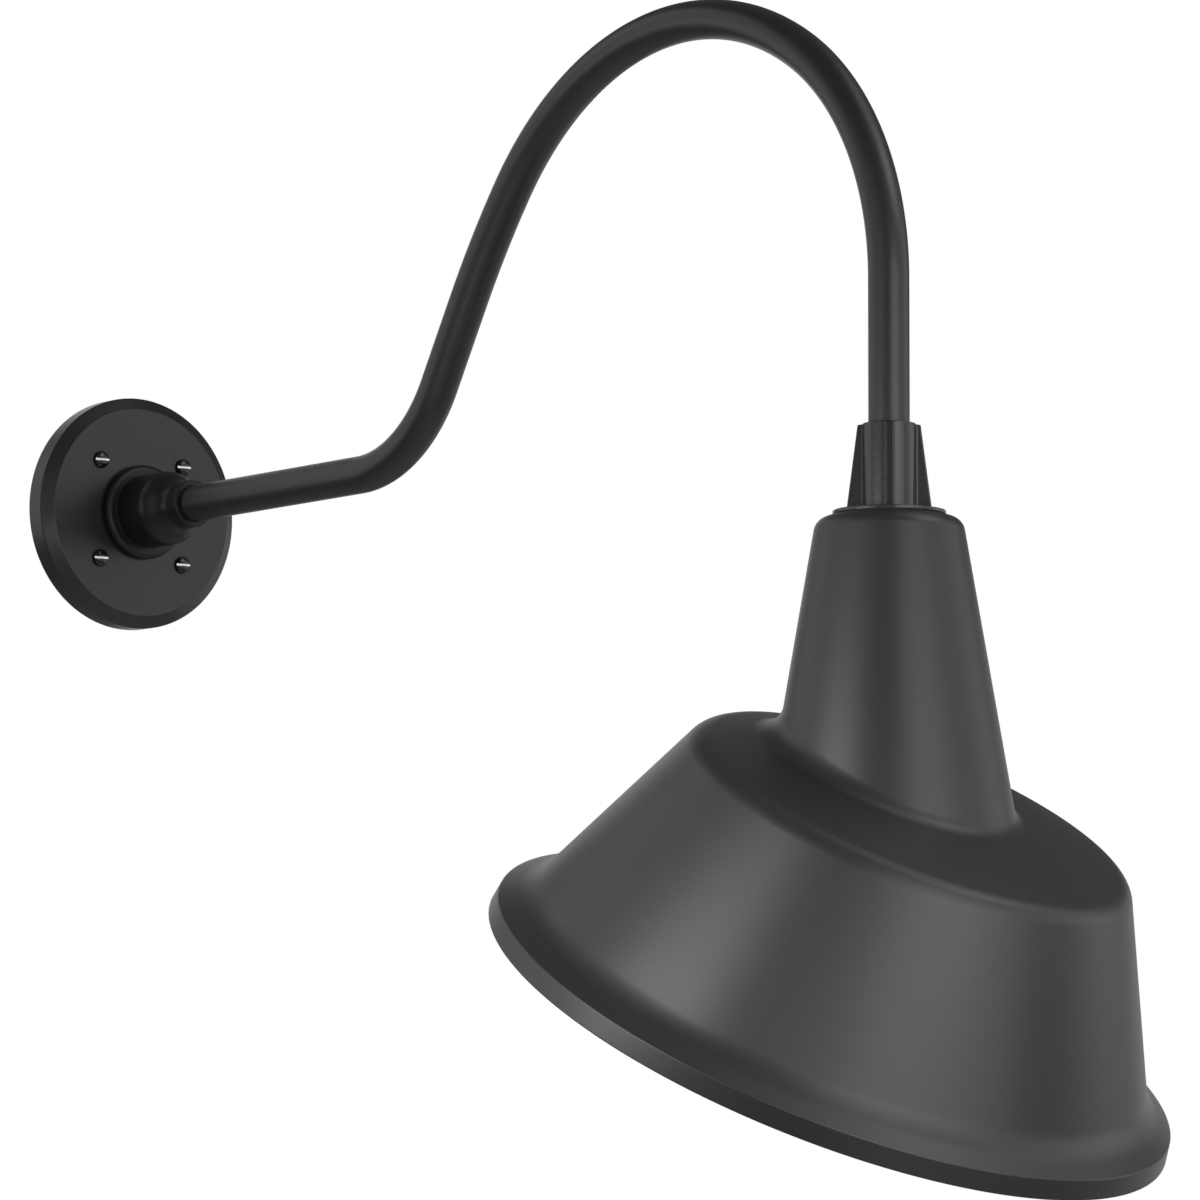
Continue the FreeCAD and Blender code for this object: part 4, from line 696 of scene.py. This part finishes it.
# ------------------------------------------------------------------ lamp
R, ARC = 30.0, 30.0
rise = math.sqrt((R + ARC) ** 2 - (13.5 + ARC) ** 2)
acx, acz = 13.5 + ARC, rise - 187.0
prof = [(11.25, -130.0, 0.0), (12.15, -130.0, 0.0), (12.15, -137.0, 0.3), (13.5, -137.0, 0.4)]
prof = rounded([(11.25, -130.0), (12.15, -130.0), (12.15, -137.0, 0.3), (13.5, -137.0, 0.4), (13.5, -139.5)], closed=False)
a_end = math.atan2(-rise * ARC / (R + ARC), -(13.5 + ARC) * ARC / (R + ARC))
for k in range(1, 17):
    a = math.pi + ((a_end % (2 * math.pi)) - math.pi) * k / 16
    prof.append((acx + ARC * math.cos(a), acz + ARC * math.sin(a)))
a0 = math.atan2(rise, 13.5 + ARC)
for k in range(1, 41):
    a = a0 + (-math.pi / 2 - a0) * k / 40
    prof.append((max(R * math.cos(a), 0.0), -187.0 + R * math.sin(a)))
prof[-1] = (0.0, -217.0)
outer_v, outer_f = turned(prof, 128, closed=False)
prof_in = []
ri, rn = R - 0.9, ARC + 0.9
for k in range(0, 31):
    a = -math.pi / 2 + (a0 + math.pi / 2) * k / 30
    prof_in.append((max(ri * math.cos(a), 0.0), -187.0 + ri * math.sin(a)))
prof_in[0] = (0.0, -216.1)
for k in range(15, -1, -1):
    a = math.pi + ((a_end % (2 * math.pi)) - math.pi) * k / 16
    prof_in.append((acx + rn * math.cos(a), acz + rn * math.sin(a)))
prof_in += [(12.6, -137.9), (11.25, -137.9)]
inner_v, inner_f = turned(prof_in, 128, closed=False)
base = len(outer_v)
verts = outer_v + inner_v
faces = outer_f + [tuple(base + i for i in q) for q in inner_f]
n_in_rows = len([p for p in prof_in if p[0] > 1e-6])
last_in = base + (n_in_rows - 1) * 128
faces += [(j, (j + 1) % 128, last_in + (j + 1) % 128, last_in + j) for j in range(128)]
piece("lamp_globe_opal", verts, faces, HEAD, OPAL, "head", ["lamp_globe"])

# ------------------------------------------------------------------ finishes of the carried-over solids
FINISH = {
    "wall_gasket": FOAM, "mounting_bracket": ZINC, "ground_screw": GREEN_METAL, "hub_washer": ZINC, "hub_lock_nut": ZINC,
    "outlet_bushing": WHITE_PLASTIC, "arm_lead_black": WIRE_BLACK, "arm_lead_white": WIRE_WHITE, "arm_lead_green": WIRE_GREEN,
    "collar_set_screws": GLOSS, "collar_gasket": RUBBER, "shade_washer": ZINC, "shade_lock_nut": ZINC, "socket_bracket": ZINC,
    "bracket_ground_screw": GREEN_METAL, "lampholder_body": PORCELAIN, "lampholder_shell": BRASS, "lampholder_contact": BRASS,
    "lampholder_screws": ZINC, "terminal_screws": BRASS, "lamp_cap": NICKEL, "lamp_insulator": GLASS_BLACK, "lamp_button": NICKEL,
    "head_lead_black": WIRE_BLACK, "head_lead_white": WIRE_WHITE, "head_lead_green": WIRE_GREEN,
}
for name, ob in NODES.items():
    if name in FINISH:
        ob.data.materials.clear()
        ob.data.materials.append(FINISH[name])
    elif not ob.hide_render:
        raise RuntimeError("no finish for " + name)

# ------------------------------------------------------------------ camera
az, pitch, roll = math.radians(51.981), math.radians(6.428), math.radians(0.132)
ahead = Vector((-math.sin(az) * math.cos(pitch), math.cos(az) * math.cos(pitch), math.sin(pitch)))
right0 = Vector((math.cos(az), math.sin(az), 0))
up0 = right0.cross(ahead)
right = right0 * math.cos(roll) + up0 * math.sin(roll)
up = up0 * math.cos(roll) - right0 * math.sin(roll)
data = bpy.data.cameras.new("camera")
data.sensor_width = 36.0
data.sensor_fit = "HORIZONTAL"
data.lens = 202.658
data.clip_start, data.clip_end = 0.05, 60.0
cam = bpy.data.objects.new("camera", data)
cam.matrix_world = Matrix(((right.x, up.x, -ahead.x, 3.3118), (right.y, up.y, -ahead.y, -2.2315), (right.z, up.z, -ahead.z, -0.4988), (0, 0, 0, 1)))
bpy.context.scene.collection.objects.link(cam)
bpy.context.scene.camera = cam

# ------------------------------------------------------------------ studio
CENTRE = Vector((0.50, 0.0, -0.05))
SHADE_AT = Vector((0.70, 0.0, -0.22))
FRONT = math.atan2(-2.2315, 3.3118 - 0.50)


def softbox(name, turn, rise, distance, width, height, power, centre=CENTRE, grid=180):
    """an area light that looks at the object; turn and rise in degrees, turn 0 on the photograph's side;
    grid is how wide it fans out, in degrees"""
    a, e = FRONT + math.radians(turn), math.radians(rise)
    d = Vector((math.cos(a) * math.cos(e), math.sin(a) * math.cos(e), math.sin(e)))
    light = bpy.data.lights.new(name, "AREA")
    light.shape = "RECTANGLE"
    light.size, light.size_y = width, height
    light.energy = power
    light.spread = math.radians(grid)
    ob = bpy.data.objects.new(name, light)
    ob.location = centre + d * distance
    ob.rotation_mode = "QUATERNION"
    ob.rotation_quaternion = (-d).to_track_quat("-Z", "Y")
    ob.visible_camera = False
    bpy.context.scene.collection.objects.link(ob)
    return ob


# the first five stand close to the shade, the others farther off round the whole light
softbox("shade_right", 38, 0, 0.75, 0.78, 0.78, 3.6, SHADE_AT)
softbox("shade_left", -58, 22, 0.75, 0.78, 0.78, 1.0, SHADE_AT)
softbox("shade_front", 10, 0, 0.74, 1.05, 0.26, 1.6, SHADE_AT)
softbox("shade_left_core", -53, 6, 0.48, 0.30, 0.24, 0.60, SHADE_AT, 110)
softbox("shade_high", 30, 30, 0.74, 0.40, 0.26, 0.45, SHADE_AT)
softbox("side_right", 92, 8, 1.5, 1.3, 1.05, 3.9)
softbox("side_right_low", 110, -10, 1.49, 1.05, 1.05, 1.5)
softbox("high_right", 70, 40, 1.5, 0.8, 0.52, 3.8)
softbox("high", 80, 62, 1.5, 1.0, 0.52, 1.5)
softbox("side_left", -110, 20, 1.5, 1.05, 1.57, 3.6)
softbox("left_edge", -88, 0, 1.49, 0.52, 0.52, 1.0)
softbox("back_left", -165, 10, 1.5, 1.2, 1.05, 3.0)
softbox("back_right", 150, -10, 1.5, 0.8, 1.05, 1.5)

world = bpy.data.worlds.new("studio")
bpy.context.scene.world = world
world.use_nodes = True
wt = world.node_tree
wt.nodes.clear()
out = wt.nodes.new("ShaderNodeOutputWorld")
seen = wt.nodes.new("ShaderNodeBackground")
seen.inputs["Color"].default_value = (1, 1, 1, 1)
seen.inputs["Strength"].default_value = 1.0
fill = wt.nodes.new("ShaderNodeBackground")
fill.inputs["Color"].default_value = (1, 1, 1, 1)
fill.inputs["Strength"].default_value = 0.15
rays = wt.nodes.new("ShaderNodeLightPath")
pick = wt.nodes.new("ShaderNodeMixShader")
wt.links.new(rays.outputs["Is Camera Ray"], pick.inputs[0])
wt.links.new(fill.outputs[0], pick.inputs[1])
wt.links.new(seen.outputs[0], pick.inputs[2])
wt.links.new(pick.outputs[0], out.inputs[0])

# pale floor well below the light; it shows only from above
me = bpy.data.meshes.new("floor")
me.from_pydata([(-9, -9, 0), (9, -9, 0), (9, 9, 0), (-9, 9, 0)], [], [(0, 1, 2, 3)])
floor = bpy.data.objects.new("floor", me)
floor.location = (0.5, 0, -1.15)
bpy.context.scene.collection.objects.link(floor)
fm, ft, fp = new_material("pale_floor")
fp.inputs["Base Color"].default_value = (0.82, 0.82, 0.82, 1)
fp.inputs["Roughness"].default_value = 0.9
clear = ft.nodes.new("ShaderNodeBsdfTransparent")
face = ft.nodes.new("ShaderNodeNewGeometry")
choose = ft.nodes.new("ShaderNodeMixShader")
ft.links.new(face.outputs["Backfacing"], choose.inputs[0])
ft.links.new(fp.outputs[0], choose.inputs[1])
ft.links.new(clear.outputs[0], choose.inputs[2])
ft.links.new(choose.outputs[0], ft.nodes["Material Output"].inputs[0])
me.materials.append(fm)

view = bpy.context.scene.view_settings
view.view_transform = "Standard"
view.look = "None"
